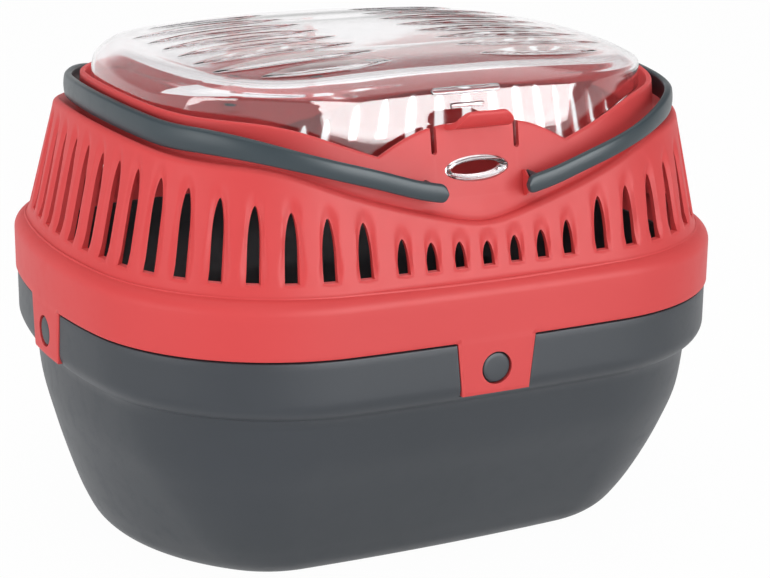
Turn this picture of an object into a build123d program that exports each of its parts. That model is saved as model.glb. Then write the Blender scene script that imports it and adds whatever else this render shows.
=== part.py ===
from build123d import *
import math
import os

# Small animal carrier: a tub, a slotted cover that clips to it, a clear hinged
# lid and two bail handles. Millimetres, +Z up, X along the length, front at -Y.
# The origin is on the floor under the middle of the box around the carrier.

# Driving dimensions
length = 300.0
width = 253.2
half_length = length / 2
half_width = width / 2

# The plan outline is an oval of eight tangent arcs
corner_radius = 88.0
front_bow_ratio = 9.0
end_bow_ratio = 2.24

# Heights of the main levels
crease_height = 84.5
lower_wall_top = 88.0
split_height = 112.0
lip_height = 9.5
ledge_height = 136.5
slot_bottom = 141.4
apron_foot = 160.0
hinge_line = 163.0

# Wall thicknesses and running gaps
tub_wall = 2.4
cover_wall = 2.4
apron_wall = 2.2
lid_wall = 2.0
seat_gap = 0.4
side_gap = 0.1

# Tub: (height, half length, half width, shift to the rear, corner, end bow ratio)
tub_levels = [
    (0.0, 110.0, 72.0, 4.0, 38.0, 1.12),
    (1.0, 115.0, 77.5, 4.0, 40.0, 1.13),
    (3.2, 119.4, 82.5, 4.0, 42.0, 1.15),
    (7.0, 123.6, 87.0, 4.0, 44.0, 1.18),
    (16.0, 128.2, 92.5, 4.0, 47.0, 1.28),
    (45.0, 137.0, 106.0, 3.0, 59.0, 1.65),
    (66.0, 141.0, 114.5, 1.5, 72.0, 2.00),
    (lower_wall_top, 142.0, 118.8, 0.0, 80.0, 2.24),
]
band_inset = 0.7
band_round = 9.6
lip_inset = cover_wall + seat_gap
pocket_inset = 3.4

# Cover: skirt, slotted wall and the inset apron above the handle ledge
skirt_round = 6.4
wall_foot_inset = 6.7
wall_slope_x = 0.228
wall_slope_y = 0.26
wall_drift = -0.06
apron_half_length = 124.6
apron_half_width = 106.5
apron_slope_x = 0.075
apron_slope_y = 0.165
top_shift = -5.0
apron_corner = 78.0

# Lancet slots: short ones in the middle of each long side, tall ones elsewhere
short_slot_width = 5.3
tall_slot_width = 6.0
slot_tip = 13.0
short_pitch = 12.7
short_each_side = 3
first_tall = 54.3
tall_per_quarter = 12

# Clip tabs and the studs of the tub that hold them
tab_top = 36.0
tab_bottom = 31.0
tab_drop = 23.0
tab_shift = 1.2
tab_play = 0.4
stud_radius = 6.2
stud_height = 99.6
stud_hole = 6.9
stud_depth = 4.0
stud_sink = 0.3

# Handles: C-shaped bails on pins along Y
handle_half_length = 127.6
handle_half_width = 114.6
handle_low_thickness = 2.8
handle_top_thickness = 4.4
taper_foot = 190.0
taper_top = 203.0
pivot_x = 23.5
pivot_z = 175.0
pin_radius = 3.5
pin_play = 0.08
pin_head_radius = 4.6
head_gap = 1.3
head_depth = 1.2
handle_tip = 18.8

# Latch: a tongue of the apron with a finger lip and an oval hole
tongue_half = 18.9
slit_width = 1.6
slit_bottom = 187.0
oval_length = 30.0
oval_height = 10.8
oval_centre = 179.7
oval_wall = 3.2
oval_play = 0.4
lip_top = 202.3
lip_out = -109.8
lip_depth = 2.6
lip_width = 23.0

# Lid: (height, half length, half width)
lid_levels = [
    (183.0, 118.6, 97.4),
    (202.0, 118.6, 97.4),
    (206.5, 117.0, 96.0),
    (210.0, 114.2, 93.6),
    (213.0, 111.0, 90.8),
    (216.0, 105.4, 86.4),
    (218.2, 96.0, 78.0),
    (219.8, 78.0, 60.0),
    (220.8, 50.0, 34.0),
]
lid_corner_inset = 40.0
hinge_y = 98.9
hinge_z = 201.2
knuckle_radius = 4.0
hinge_pin_radius = 2.4
ear_inner = 17.4
ear_thickness = 4.0
ear_radius = 4.6
rib_length = 72.0
rib_width = 5.0
plate_half = 15.4

# Wavy edges: heights over the distance from the middle of the length
ledge_wave = [(0, 159.0), (20, 162.5), (48, 170.5), (70, 178.5), (86, 184.0), (104, 186.4), (124, 189.0), (134, 192.5)]
rim_wave = [(43.2, 186.8), (60, 193.0), (76, 198.5), (90, 201.0), (108, 201.9), (118, 203.2), (124, 205.0)]
apron_wave = [(0, 197.6), (18.9, 196.6), (31, 193.0), (43.2, 186.8)]
handle_wave = [(18.8, 174.2), (30, 175.8), (48, 180.2), (70, 187.7), (86, 192.6), (100, 194.4), (113, 195.4), (121, 196.8), (127.5, 199.4)]
handle_height = 11.2
lid_wave = [(0, 184.0), (43.2, 184.0), (60, 190.0), (76, 195.4), (90, 198.0), (108, 198.9), (119.5, 201.0)]
slot_wave = [(0, 151.2), (26, 153.0), (40, 156.0), (54, 163.4), (84, 168.9), (110, 173.8), (135, 180.0), (143, 182.0)]

reach = 400.0
round_steps = 3


def oval_arcs(a, b, corner, end_ratio):
    """Centre, radius and angles of the three arcs of the quarter x >= 0, y >= 0."""
    bow = front_bow_ratio * a
    end = end_ratio * b
    c1 = (0.0, b - bow)
    c2 = (a - end, 0.0)
    r1 = bow - corner
    r2 = end - corner
    dx = c2[0] - c1[0]
    dy = c2[1] - c1[1]
    gap = math.hypot(dx, dy)
    along = (r1 * r1 - r2 * r2 + gap * gap) / (2 * gap)
    off = math.sqrt(max(r1 * r1 - along * along, 0.0))
    centre = (c1[0] + (along * dx + off * dy) / gap, c1[1] + (along * dy - off * dx) / gap)
    t1 = math.atan2(centre[1] - c1[1], centre[0] - c1[0])
    t2 = math.atan2(centre[1] - c2[1], centre[0] - c2[0])
    return (c1, bow, math.pi / 2, t1), (centre, corner, t1, t2), (c2, end, t2, 0.0)


def on_arc(arc, share):
    """Point and outward angle at a share of one arc's sweep."""
    centre, radius, start, stop = arc
    angle = start + (stop - start) * share
    return centre[0] + radius * math.cos(angle), centre[1] + radius * math.sin(angle), angle


def oval(a, b, z, shift=0.0, corner=corner_radius, end_ratio=end_bow_ratio):
    """Closed face of the eight-arc oval, a and b its half length and half width."""
    bow, turn, end = oval_arcs(a, b, corner, end_ratio)
    p = on_arc(bow, 1.0)[:2]
    m = on_arc(turn, 0.5)[:2]
    q = on_arc(turn, 1.0)[:2]

    def at(x, y):
        return (x, y + shift, z)

    with BuildLine() as outline:
        ThreePointArc(at(-p[0], p[1]), at(0, b), at(p[0], p[1]))
        ThreePointArc(at(p[0], p[1]), at(m[0], m[1]), at(q[0], q[1]))
        ThreePointArc(at(q[0], q[1]), at(a, 0), at(q[0], -q[1]))
        ThreePointArc(at(q[0], -q[1]), at(m[0], -m[1]), at(p[0], -p[1]))
        ThreePointArc(at(p[0], -p[1]), at(0, -b), at(-p[0], -p[1]))
        ThreePointArc(at(-p[0], -p[1]), at(-m[0], -m[1]), at(-q[0], -q[1]))
        ThreePointArc(at(-q[0], -q[1]), at(-a, 0), at(-q[0], q[1]))
        ThreePointArc(at(-q[0], q[1]), at(-m[0], m[1]), at(-p[0], p[1]))
    return Face(Wire(outline.edges()))


def prism(inset, low, high, shift=0.0):
    """Upright oval block, inset from the carrier's full plan outline."""
    face = oval(half_length - inset, half_width - inset, low, shift, corner_radius - inset * 0.5)
    return extrude(face, amount=high - low, dir=(0, 0, 1))


def rounded(inset, low, high, radius, top):
    """Upright block whose top or bottom edge has a quarter-round of the given radius."""
    edge, straight, far = (high, high - radius, low) if top else (low, low + radius, high)
    way = 1 if top else -1
    body = prism(inset, min(far, straight), max(far, straight))
    faces = []
    for step in range(round_steps + 1):
        angle = math.pi / 2 * step / round_steps
        draw = radius * (1 - math.cos(angle))
        rise = radius * math.sin(angle)
        z = straight + way * rise
        extra = inset + draw
        faces.append(oval(half_length - extra, half_width - extra, z, 0.0, corner_radius - extra * 0.5))
    if not top:
        faces.reverse()
    return body + loft(faces, ruled=True)


def wave_points(points):
    """A half wave mirrored about the middle, from the left end to the right."""
    left = [(-x, z) for x, z in reversed(points) if x > 0]
    return left + [(x, z) for x, z in points]


def slab(top, low, lift=0.0):
    """Everything under a wavy edge: an XZ outline carried along Y."""
    points = [(x, z + lift) for x, z in wave_points(top)]
    x_end, z_end = points[-1]
    with BuildSketch(Plane.XZ) as sketch:
        with BuildLine():
            Spline(*points)
            Polyline((x_end, z_end), (reach, z_end), (reach, low), (-reach, low), (-reach, z_end), (-x_end, z_end))
        make_face()
    return extrude(sketch.sketch.face(), amount=reach, both=True)


def interpolate(points, x):
    """Height of a wavy edge at a distance from the middle, straight between its points."""
    x = abs(x)
    for (x0, z0), (x1, z1) in zip(points, points[1:]):
        if x <= x1:
            return z0 + (z1 - z0) * (x - x0) / (x1 - x0)
    return points[-1][1]


def tub_shell(inset, levels):
    """Tapered lower wall with its rounded floor, inset by the wall for the hollow."""
    faces = []
    for z, a, b, shift, corner, ratio in levels:
        height = z + inset * (1 - z / lower_wall_top)
        faces.append(oval(a - inset, b - inset, height, shift, max(corner - inset, 8.0), ratio))
    return loft(faces, ruled=True)


def tab_shape(extra, low, high):
    """Trapezoid of a clip tab, wider at its top, carried along Y."""
    slope = (tab_top - tab_bottom) / 2 / tab_drop
    top = tab_top / 2 + extra
    bottom = top - slope * (high - low)
    with BuildSketch(Plane.XZ) as sketch:
        with BuildLine():
            Polyline(
                (tab_shift - top, high),
                (tab_shift + top, high),
                (tab_shift + bottom, low),
                (tab_shift - bottom, low),
                close=True,
            )
        make_face()
    return extrude(sketch.sketch.face(), amount=-reach, dir=(0, 1, 0))


def around(shape_of_front):
    """The front shape turned to the front, right, rear and left of the carrier."""
    return [shape_of_front.rotate(Axis.Z, angle) for angle in (0, 90, 180, 270)]


def stud(index):
    """Round stud of the tub at the middle of one side."""
    out = half_width if index % 2 == 0 else half_length
    blank = Cylinder(stud_radius, stud_depth, rotation=(90, 0, 0))
    blank = Pos(tab_shift, -(out - stud_sink - stud_depth / 2), stud_height) * blank
    return blank.rotate(Axis.Z, 90 * index)


def make_tub():
    """Tub with its band, lip, tab pockets and studs."""
    band = rounded(band_inset, crease_height, split_height, band_round, top=False)
    lip = prism(lip_inset, split_height - 1.0, split_height + lip_height)
    body = tub_shell(0.0, tub_levels) + band + lip
    hollow = tub_shell(tub_wall, tub_levels[0::2] + tub_levels[-1:])
    band_hollow = rounded(lip_inset + 2.2, crease_height + 2.0, split_height + lip_height + 5, 6.4, top=False)
    body = body - hollow - band_hollow
    pocket = tab_shape(tab_play, split_height - tab_drop - tab_play, split_height + 0.01)
    floor = prism(pocket_inset, crease_height - 5, split_height + 5)
    for index, cutter in enumerate(around(pocket)):
        body = body - (cutter - floor)
        body = body + stud(index)
    return body


def make_tabs():
    """The four clip tabs of the cover, each a panel of the skirt with a stud hole."""
    ring = prism(0.0, split_height - tab_drop, split_height) - prism(cover_wall, split_height - tab_drop - 1, split_height + 1)
    shape = tab_shape(0.0, split_height - tab_drop, split_height)
    hole = Pos(tab_shift, -reach / 2, stud_height) * Cylinder(stud_hole, reach, rotation=(90, 0, 0))
    tabs = []
    for cutter, opening in zip(around(shape), around(hole)):
        tabs.append((ring & cutter) - opening)
    return tabs


def wall_at(z, inset):
    """Oval of the slotted wall at one height."""
    rise = z - slot_bottom
    a = half_length - wall_foot_inset - 0.5 - wall_slope_x * rise - inset
    b = half_width - wall_foot_inset + 1.3 - wall_slope_y * rise - inset
    return oval(a, b, z, wall_drift * rise, 84.0 - wall_slope_x * rise - inset)


def wall_block(inset, low, high):
    """Tapered block of the slotted wall."""
    return loft([wall_at(low, inset), wall_at(high, inset)], ruled=True)


def apron_at(z, inset):
    """Oval of the inset apron and rim at one height."""
    rise = z - apron_foot
    a = apron_half_length - apron_slope_x * rise - inset
    b = apron_half_width - apron_slope_y * rise - inset
    return oval(a, b, z, top_shift, apron_corner - apron_slope_y * rise - inset)


def apron_block(inset, low, high):
    """Tapered block of the inset apron and rim."""
    return loft([apron_at(low, inset), apron_at(high, inset)], ruled=True)


def rim_slab(low):
    """Everything under the rim: notches, and the raised apron between them."""
    right = [(x, z) for x, z in rim_wave]
    crest = wave_points(apron_wave)
    with BuildSketch(Plane.XZ) as sketch:
        with BuildLine():
            Spline(*crest)
            Spline(*right)
            x_end, z_end = right[-1]
            Polyline((x_end, z_end), (reach, z_end), (reach, low), (-reach, low), (-reach, z_end), (-x_end, z_end))
            Spline(*[(-x, z) for x, z in reversed(right)])
        make_face()
    return extrude(sketch.sketch.face(), amount=reach, both=True)


def slot_profile(height, width):
    """Lancet outline: flat foot, straight flanks and a pointed arched tip."""
    half = width / 2
    tip = min(slot_tip, height * 0.7)
    flank = height - tip
    bend = half * 0.62
    with BuildSketch(Plane.XZ) as sketch:
        with BuildLine():
            Line((-half, 0), (half, 0))
            Line((half, 0), (half * 0.96, flank))
            ThreePointArc((half * 0.96, flank), (bend, flank + tip * 0.56), (0, height))
            ThreePointArc((0, height), (-bend, flank + tip * 0.56), (-half * 0.96, flank))
            Line((-half * 0.96, flank), (-half, 0))
        make_face()
    return sketch.sketch.face()


def slot_places():
    """Foot point and outward angle of each slot in the quarter x >= 0, y <= 0."""
    a = half_length - wall_foot_inset - 0.5
    b = half_width - wall_foot_inset + 1.3
    arcs = oval_arcs(a, b, 84.0, end_bow_ratio)
    sizes = [arc[1] * abs(arc[2] - arc[3]) for arc in arcs]
    quarter = sum(sizes)
    runs = [short_pitch * i for i in range(short_each_side + 1)]
    pitch = (quarter - first_tall) / (tall_per_quarter - 1)
    runs += [first_tall + pitch * i for i in range(tall_per_quarter)]
    places = []
    for run in runs:
        rest = min(run, quarter)
        for arc, size in zip(arcs, sizes):
            if rest <= size or arc is arcs[-1]:
                x, y, angle = on_arc(arc, min(rest / size, 1.0))
                break
            rest -= size
        places.append((x, y, math.degrees(angle)))
    return places


def make_slots():
    """Cutters of all the lancet slots, each square to the wall at its foot."""
    cutters = []
    for x, y, angle in slot_places():
        height = interpolate(slot_wave, x) - slot_bottom
        slot = slot_profile(height, short_slot_width if x < first_tall - 3 else tall_slot_width)
        blade = extrude(slot, amount=16.0, both=True)
        for sx in (1, -1):
            for sy in (1, -1):
                if (x < 0.01 and sx < 0) or (y < 0.01 and sy < 0):
                    continue
                turn = math.degrees(math.atan2(sy * math.sin(math.radians(angle)), sx * math.cos(math.radians(angle))))
                cutters.append(Pos(sx * x, sy * y, slot_bottom) * Rot(0, 0, turn + 90) * blade)
    return cutters


def pin_axis(side, radius, y_from, y_to):
    """Round bar along Y through one side's handle pivot."""
    middle = (y_from + y_to) / 2
    return Pos(side * pivot_x, middle, pivot_z) * Cylinder(radius, abs(y_to - y_from), rotation=(90, 0, 0))


def tongue_zone(extra):
    """The part of the front apron that the latch tongue takes."""
    return Pos(0, -reach / 2, hinge_line + 30) * Box(2 * (tongue_half - extra), reach, 60)


def cover_blank():
    """Cover before its slots and holes: skirt, slotted wall, ledge, apron and rim."""
    skirt = rounded(0.0, split_height, ledge_height, skirt_round, top=True)
    wall = wall_block(0.0, ledge_height - 3, 200.0) & slab(ledge_wave, 100.0)
    rim = apron_block(0.0, 150.0, 215.0) & rim_slab(100.0)
    outside = skirt + wall + rim
    skirt_hollow = rounded(cover_wall, split_height - 5, ledge_height - cover_wall, 4.6, top=True)
    wall_hollow = wall_block(cover_wall, ledge_height - 6, 200.0) & slab(ledge_wave, 100.0, -cover_wall)
    rim_hollow = apron_block(apron_wall, 140.0, 225.0)
    return outside - skirt_hollow - wall_hollow - rim_hollow


def hinge_ears():
    """Two ears on the rear apron that hold the lid's trunnions."""
    ears = []
    for side in (-1, 1):
        middle = side * (ear_inner + ear_thickness / 2)
        disc = Pos(middle, hinge_y, hinge_z) * Cylinder(ear_radius, ear_thickness, rotation=(0, 90, 0))
        stem = Pos(middle, hinge_y - 0.4, hinge_z - 7.5) * Box(ear_thickness, 7.0, 15.0)
        ears.append(disc + stem)
    return ears


def make_cover(blank):
    """The slotted cover."""
    cover = blank
    for ear in hinge_ears():
        cover = cover + ear
    cover = cover - apron_block(apron_wall, 140.0, 225.0)
    pin_hole = Pos(0, hinge_y, hinge_z) * Cylinder(hinge_pin_radius + pin_play, 60, rotation=(0, 90, 0))
    cover = cover - pin_hole
    for side in (-1, 1):
        cover = cover - pin_axis(side, pin_radius + pin_play, -130, 130)
    cover = cover - make_slots()
    cover = cover - tongue_zone(-side_gap / 2)
    slit_high = 215.0
    for side in (-1, 1):
        slit = Pos(side * tongue_half, -105, (slit_bottom + slit_high) / 2) * Box(slit_width, 20, slit_high - slit_bottom)
        cover = cover - slit
    return cover


def make_tongue(blank):
    """Latch tongue: a panel of the apron with the finger lip and the oval hole."""
    tongue = blank & tongue_zone(side_gap / 2)
    hole = Ellipse(oval_length / 2 + oval_play, oval_height / 2 + oval_play)
    cutter = extrude(Plane.XZ * Pos(0, oval_centre) * hole, amount=reach / 2)
    tongue = tongue - cutter
    for side in (-1, 1):
        slit = Pos(side * tongue_half, -105, slit_bottom + 15) * Box(slit_width, 20, 30)
        tongue = tongue - slit
    foot_y = -(apron_half_width - top_shift - apron_slope_y * (196.0 - apron_foot)) + apron_wall / 2
    foot = Plane((0, foot_y, 195.6)) * RectangleRounded(34.0, apron_wall, 1.0)
    crest = Plane((0, lip_out + lip_depth / 2, lip_top)) * RectangleRounded(lip_width, lip_depth, 1.2)
    lip = loft([foot, crest], ruled=True)
    return tongue + lip


def handle_oval(z, inset):
    """Plan oval of the bails at one height."""
    return oval(handle_half_length - inset, handle_half_width - inset, z, top_shift, 80.0 - inset)


def handle_band():
    """Oval band of the bails: its inner face tapers outwards below, to clear the rim as it swings up."""
    low = extrude(handle_oval(150.0, handle_low_thickness), amount=taper_foot - 150.0, dir=(0, 0, 1))
    taper = loft([handle_oval(taper_foot, handle_low_thickness), handle_oval(taper_top, handle_top_thickness)], ruled=True)
    high = extrude(handle_oval(taper_top, handle_top_thickness), amount=30.0, dir=(0, 0, 1))
    return extrude(handle_oval(150.0, 0.0), amount=80.0, dir=(0, 0, 1)) - low - taper - high


def make_handle(side):
    """One bail: an oval band cut between two wavy edges, with its two pins."""
    band = handle_band()
    half = handle_height / 2
    low = [(x, z - half) for x, z in handle_wave]
    high = [(x, z + half) for x, z in reversed(handle_wave)]
    with BuildSketch(Plane.XZ) as sketch:
        with BuildLine():
            Spline(*low)
            Line(low[-1], high[0])
            Spline(*high)
            Line(high[-1], low[0])
        make_face()
        tips = sketch.vertices().sort_by(Axis.X)[:2]
        fillet(tips, 4.4)
    wave = extrude(sketch.sketch.face(), amount=reach, both=True)
    if side < 0:
        wave = wave.mirror(Plane.YZ)
    bail = band & wave
    front_face = -(handle_half_width - top_shift) + 1.0
    rear_face = handle_half_width + top_shift - 1.0
    front_wall = -(apron_half_width - top_shift - apron_slope_y * (pivot_z - apron_foot)) + apron_wall
    rear_wall = apron_half_width + top_shift - apron_slope_y * (pivot_z - apron_foot) - apron_wall
    front_pin = pin_axis(side, pin_radius, front_face, front_wall + head_gap + 0.1)
    rear_pin = pin_axis(side, pin_radius, rear_face, rear_wall - head_gap - 0.1)
    front_head = pin_axis(side, pin_head_radius, front_wall + head_gap, front_wall + head_gap + head_depth)
    rear_head = pin_axis(side, pin_head_radius, rear_wall - head_gap, rear_wall - head_gap - head_depth)
    return bail + front_pin + rear_pin + front_head + rear_head


def lid_block(inset, levels):
    """Domed block of the lid."""
    faces = []
    for z, a, b in levels:
        corner = max(a - lid_corner_inset - inset, 12.0)
        faces.append(oval(a - inset, b - inset, z - inset * 0.95, top_shift, corner))
    return loft(faces, ruled=True)


def dome_height(x, y):
    """Height of the lid's top face, close to its lofted surface."""
    across = (y - top_shift) / 97.0
    along = x / 119.0
    return 221.2 - 2.4 * along * along - 3.6 * across * across


def lid_ribs():
    """Two fields of long lens-shaped ribs with a plain band between them."""
    ribs = []
    lens_radius = (rib_length / 2) ** 2 / rib_width + rib_width / 4
    for side in (-1, 1):
        for row in range(8):
            y = top_shift - 66.0 + row * 18.5
            trim = 1.0 - 0.22 * (row in (0, 7))
            half = rib_length / 2 * trim
            x = side * (56.0 - 6.0 * (row in (0, 7)))
            z = dome_height(x, y) - 0.7
            with BuildSketch(Plane((x, y, z - 1.6))) as sketch:
                with BuildLine():
                    ThreePointArc((-half, 0), (0, rib_width / 2), (half, 0))
                    ThreePointArc((half, 0), (0, -rib_width / 2), (-half, 0))
                make_face()
            ribs.append(extrude(sketch.sketch.face(), amount=2.2))
    return ribs


def lid_plate():
    """Tab of the lid behind the apron, leaning with it, that carries the oval boss."""
    low = 172.0
    high = 200.0

    def face_y(z):
        return -(apron_half_width - top_shift - apron_slope_y * (z - apron_foot)) + apron_wall + 0.5

    with BuildSketch(Plane.YZ) as sketch:
        with BuildLine():
            Polyline(
                (face_y(low), low),
                (face_y(high), high),
                (face_y(high) + lid_wall, high),
                (face_y(low) + lid_wall, low),
                close=True,
            )
        make_face()
    leaf = extrude(sketch.sketch.face(), amount=oval_length, both=True)
    rounded_end = Pos(0, oval_centre) * Ellipse(plate_half, oval_height / 2 + 0.5)
    upright = Pos(0, (oval_centre + high) / 2) * Rectangle(2 * plate_half, high - oval_centre)
    outline = extrude(Plane.XZ * (rounded_end + upright), amount=reach / 2)
    return leaf & outline


def make_lid():
    """Clear lid with its ribs, grip bars, oval boss and hinge trunnions."""
    lower = slab(lid_wave, 100.0)
    shell = (lid_block(0.0, lid_levels) - lid_block(lid_wall, lid_levels[0::2])) - lower
    plate = lid_plate()
    lid = shell + plate
    boss_out = -(apron_half_width - top_shift - apron_slope_y * (oval_centre - apron_foot)) - 0.8
    ring = Ellipse(oval_length / 2, oval_height / 2) - Ellipse(oval_length / 2 - oval_wall, oval_height / 2 - oval_wall * 0.62)
    back = -boss_out - 104.6
    boss = extrude(Plane.XZ.offset(-boss_out - back) * Pos(0, oval_centre) * ring, amount=back)
    lid = lid + boss
    for rib in lid_ribs():
        lid = lid + rib
    barrel = Pos(0, hinge_y, hinge_z) * Cylinder(knuckle_radius, 2 * ear_inner - 0.8, rotation=(0, 90, 0))
    pin = Pos(0, hinge_y, hinge_z) * Cylinder(hinge_pin_radius, 2 * (ear_inner + ear_thickness) - 0.4, rotation=(0, 90, 0))
    arm = Pos(0, (hinge_y + 91.4) / 2, hinge_z + 1.2) * Box(30.0, hinge_y - 91.4, 3.4)
    return lid + arm + barrel + pin


def build():
    """All the carrier's pieces by name."""
    blank = cover_blank()
    tabs = make_tabs()
    return {
        "base_tub": make_tub(),
        "top_cover": make_cover(blank),
        "latch_tongue": make_tongue(blank),
        "front_tab": tabs[0],
        "right_tab": tabs[1],
        "rear_tab": tabs[2],
        "left_tab": tabs[3],
        "left_handle": make_handle(-1),
        "right_handle": make_handle(1),
        "clear_lid": make_lid(),
    }


os.makedirs("parts", exist_ok=True)
for name, shape in build().items():
    export_step(shape, f"parts/{name}.step")
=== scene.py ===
"""Looks of a small animal carrier: grey tub, slotted cover, clear lid, latch and bail handles.

All sizes here are millimetres in the carrier's own frame. Meshes are written in metres.
"""

import logging
import math
from dataclasses import dataclass, field
from enum import Enum
from typing import Callable, Optional, Sequence, Union

import bmesh
import bpy
import numpy as np
from mathutils import Matrix, Vector


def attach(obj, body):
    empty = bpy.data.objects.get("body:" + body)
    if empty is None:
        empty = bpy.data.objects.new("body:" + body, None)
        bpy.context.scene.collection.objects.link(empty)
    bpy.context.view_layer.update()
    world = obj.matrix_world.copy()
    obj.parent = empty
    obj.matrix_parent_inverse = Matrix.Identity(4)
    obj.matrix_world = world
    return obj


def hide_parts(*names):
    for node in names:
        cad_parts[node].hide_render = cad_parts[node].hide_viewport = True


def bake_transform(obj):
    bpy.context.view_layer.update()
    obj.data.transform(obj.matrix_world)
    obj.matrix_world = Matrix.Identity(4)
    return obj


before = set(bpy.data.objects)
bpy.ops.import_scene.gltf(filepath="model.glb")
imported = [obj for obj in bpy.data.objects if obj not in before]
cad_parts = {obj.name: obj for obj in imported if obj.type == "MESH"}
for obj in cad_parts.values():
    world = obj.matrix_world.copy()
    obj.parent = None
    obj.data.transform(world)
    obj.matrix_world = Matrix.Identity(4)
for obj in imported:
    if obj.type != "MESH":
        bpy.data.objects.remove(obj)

Array = np.ndarray
Triple = tuple[float, float, float]
Points = tuple[tuple[float, float], ...]
Tree = bpy.types.NodeTree
Socket = bpy.types.NodeSocket

MM = 0.001
QUARTER = 3.0
TURN = 12.0
SHARP = 32.0
PHOTO_WIDTH = 770
PHOTO_HEIGHT = 578

log = logging.getLogger("carrier")


def smooth_step(value: Array, low: float, high: float) -> Array:
    """Smooth ramp from 0 at low to 1 at high, three times the square minus twice the cube.

    Args:
        value: Numbers to map.
        low: Where the ramp starts.
        high: Where the ramp ends.

    Returns:
        The ramp, as an array.
    """
    share = np.clip((np.asarray(value, float) - low) / (high - low), 0.0, 1.0)
    return share * share * (3.0 - 2.0 * share)


@dataclass(frozen=True)
class Oval:
    """Plan outline of eight tangent arcs: a long bow, a corner and an end bow per quarter.

    The parameter t runs from 0 to 12 round the outline, three arcs to a quarter,
    from the front middle to the right, the rear and the left.
    """

    half_length: Array
    half_width: Array
    corner: Array
    shift: Array = 0.0
    end_ratio: Array = 2.24
    bow_ratio: float = 9.0

    def arcs(self) -> tuple[Array, ...]:
        """Centres, radii and turning angles of the arcs in the first quarter.

        The corner circle touches both bows from inside, so its centre is where two
        circles meet whose radii are the bows' radii less the corner's.

        Returns:
            Bow centre y, end centre x, corner centre x and y, both radii, both angles.
        """
        sizes = (self.half_length, self.half_width, self.corner)
        a, b, corner = np.broadcast_arrays(*(np.asarray(size) for size in sizes))
        bow = self.bow_ratio * a
        end = self.end_ratio * b
        low = b - bow
        side = a - end
        near = bow - corner
        far = end - corner
        gap = np.hypot(side, low)
        along = (near**2 - far**2 + gap**2) / (2.0 * gap)
        off = np.sqrt(np.maximum(near**2 - along**2, 0.0))
        cx = (along * side - off * low) / gap
        cy = low + (-along * low - off * side) / gap
        first = np.arctan2(cy - low, cx)
        second = np.arctan2(cy, cx - side)
        return low, side, cx, cy, bow, end, first, second

    def at(self, t: Array) -> tuple[Array, Array, Array, Array]:
        """Points and outward directions: each arc is centre plus radius times its angle.

        Args:
            t: Parameter round the outline, which broadcasts against the sizes.

        Returns:
            x, y and the outward direction's x and y.
        """
        low, side, cx, cy, bow, end, first, second = self.arcs()
        t = np.mod(np.asarray(t, float), TURN)
        quarter = np.floor(t / QUARTER).astype(int)
        local = t - QUARTER * quarter
        local = np.where(quarter % 2 == 0, local, QUARTER - local)
        arc = np.clip(np.floor(local).astype(int), 0, 2)
        share = local - arc
        right = np.pi / 2
        angle = np.choose(
            arc,
            [
                right + (first - right) * share,
                first + (second - first) * share,
                second - second * share,
            ],
        )
        corner = np.asarray(self.corner, float)
        centre_x = np.choose(arc, [0.0 * cx, cx, side])
        centre_y = np.choose(arc, [low, cy, 0.0 * cy])
        radius = np.choose(arc, [bow, corner + 0.0 * bow, end])
        sign_x = np.where(quarter < 2, 1.0, -1.0)
        sign_y = np.where((quarter == 1) | (quarter == 2), 1.0, -1.0)
        x = sign_x * (centre_x + radius * np.cos(angle))
        y = sign_y * (centre_y + radius * np.sin(angle)) + self.shift
        return x, y, sign_x * np.cos(angle), sign_y * np.sin(angle)

    def holds(self, x: Array, y: Array) -> Array:
        """Whether points lie inside: within both bows, and within the corner where it rules.

        Args:
            x: Places along the length.
            y: Places across it.

        Returns:
            True at the points inside.
        """
        low, side, cx, cy, bow, end, first, second = self.arcs()
        x = np.abs(x)
        y = np.abs(y - self.shift)
        angle = np.arctan2(y - cy, x - cx)
        rules = (angle > second) & (angle < first)
        in_corner = np.hypot(x - cx, y - cy) <= self.corner
        in_bows = (np.hypot(x, y - low) <= bow) & (np.hypot(x - side, y) <= end)
        return in_bows & (in_corner | ~rules)

    def marks(self) -> Array:
        """Length along the outline at each whole t from 0 to 12."""
        _, _, _, _, bow, end, first, second = (float(value) for value in self.arcs())
        runs = (bow * (np.pi / 2 - first), float(self.corner) * (first - second), end * second)
        order = (0, 1, 2, 2, 1, 0, 0, 1, 2, 2, 1, 0)
        return np.concatenate([[0.0], np.cumsum([runs[i] for i in order])])


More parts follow.
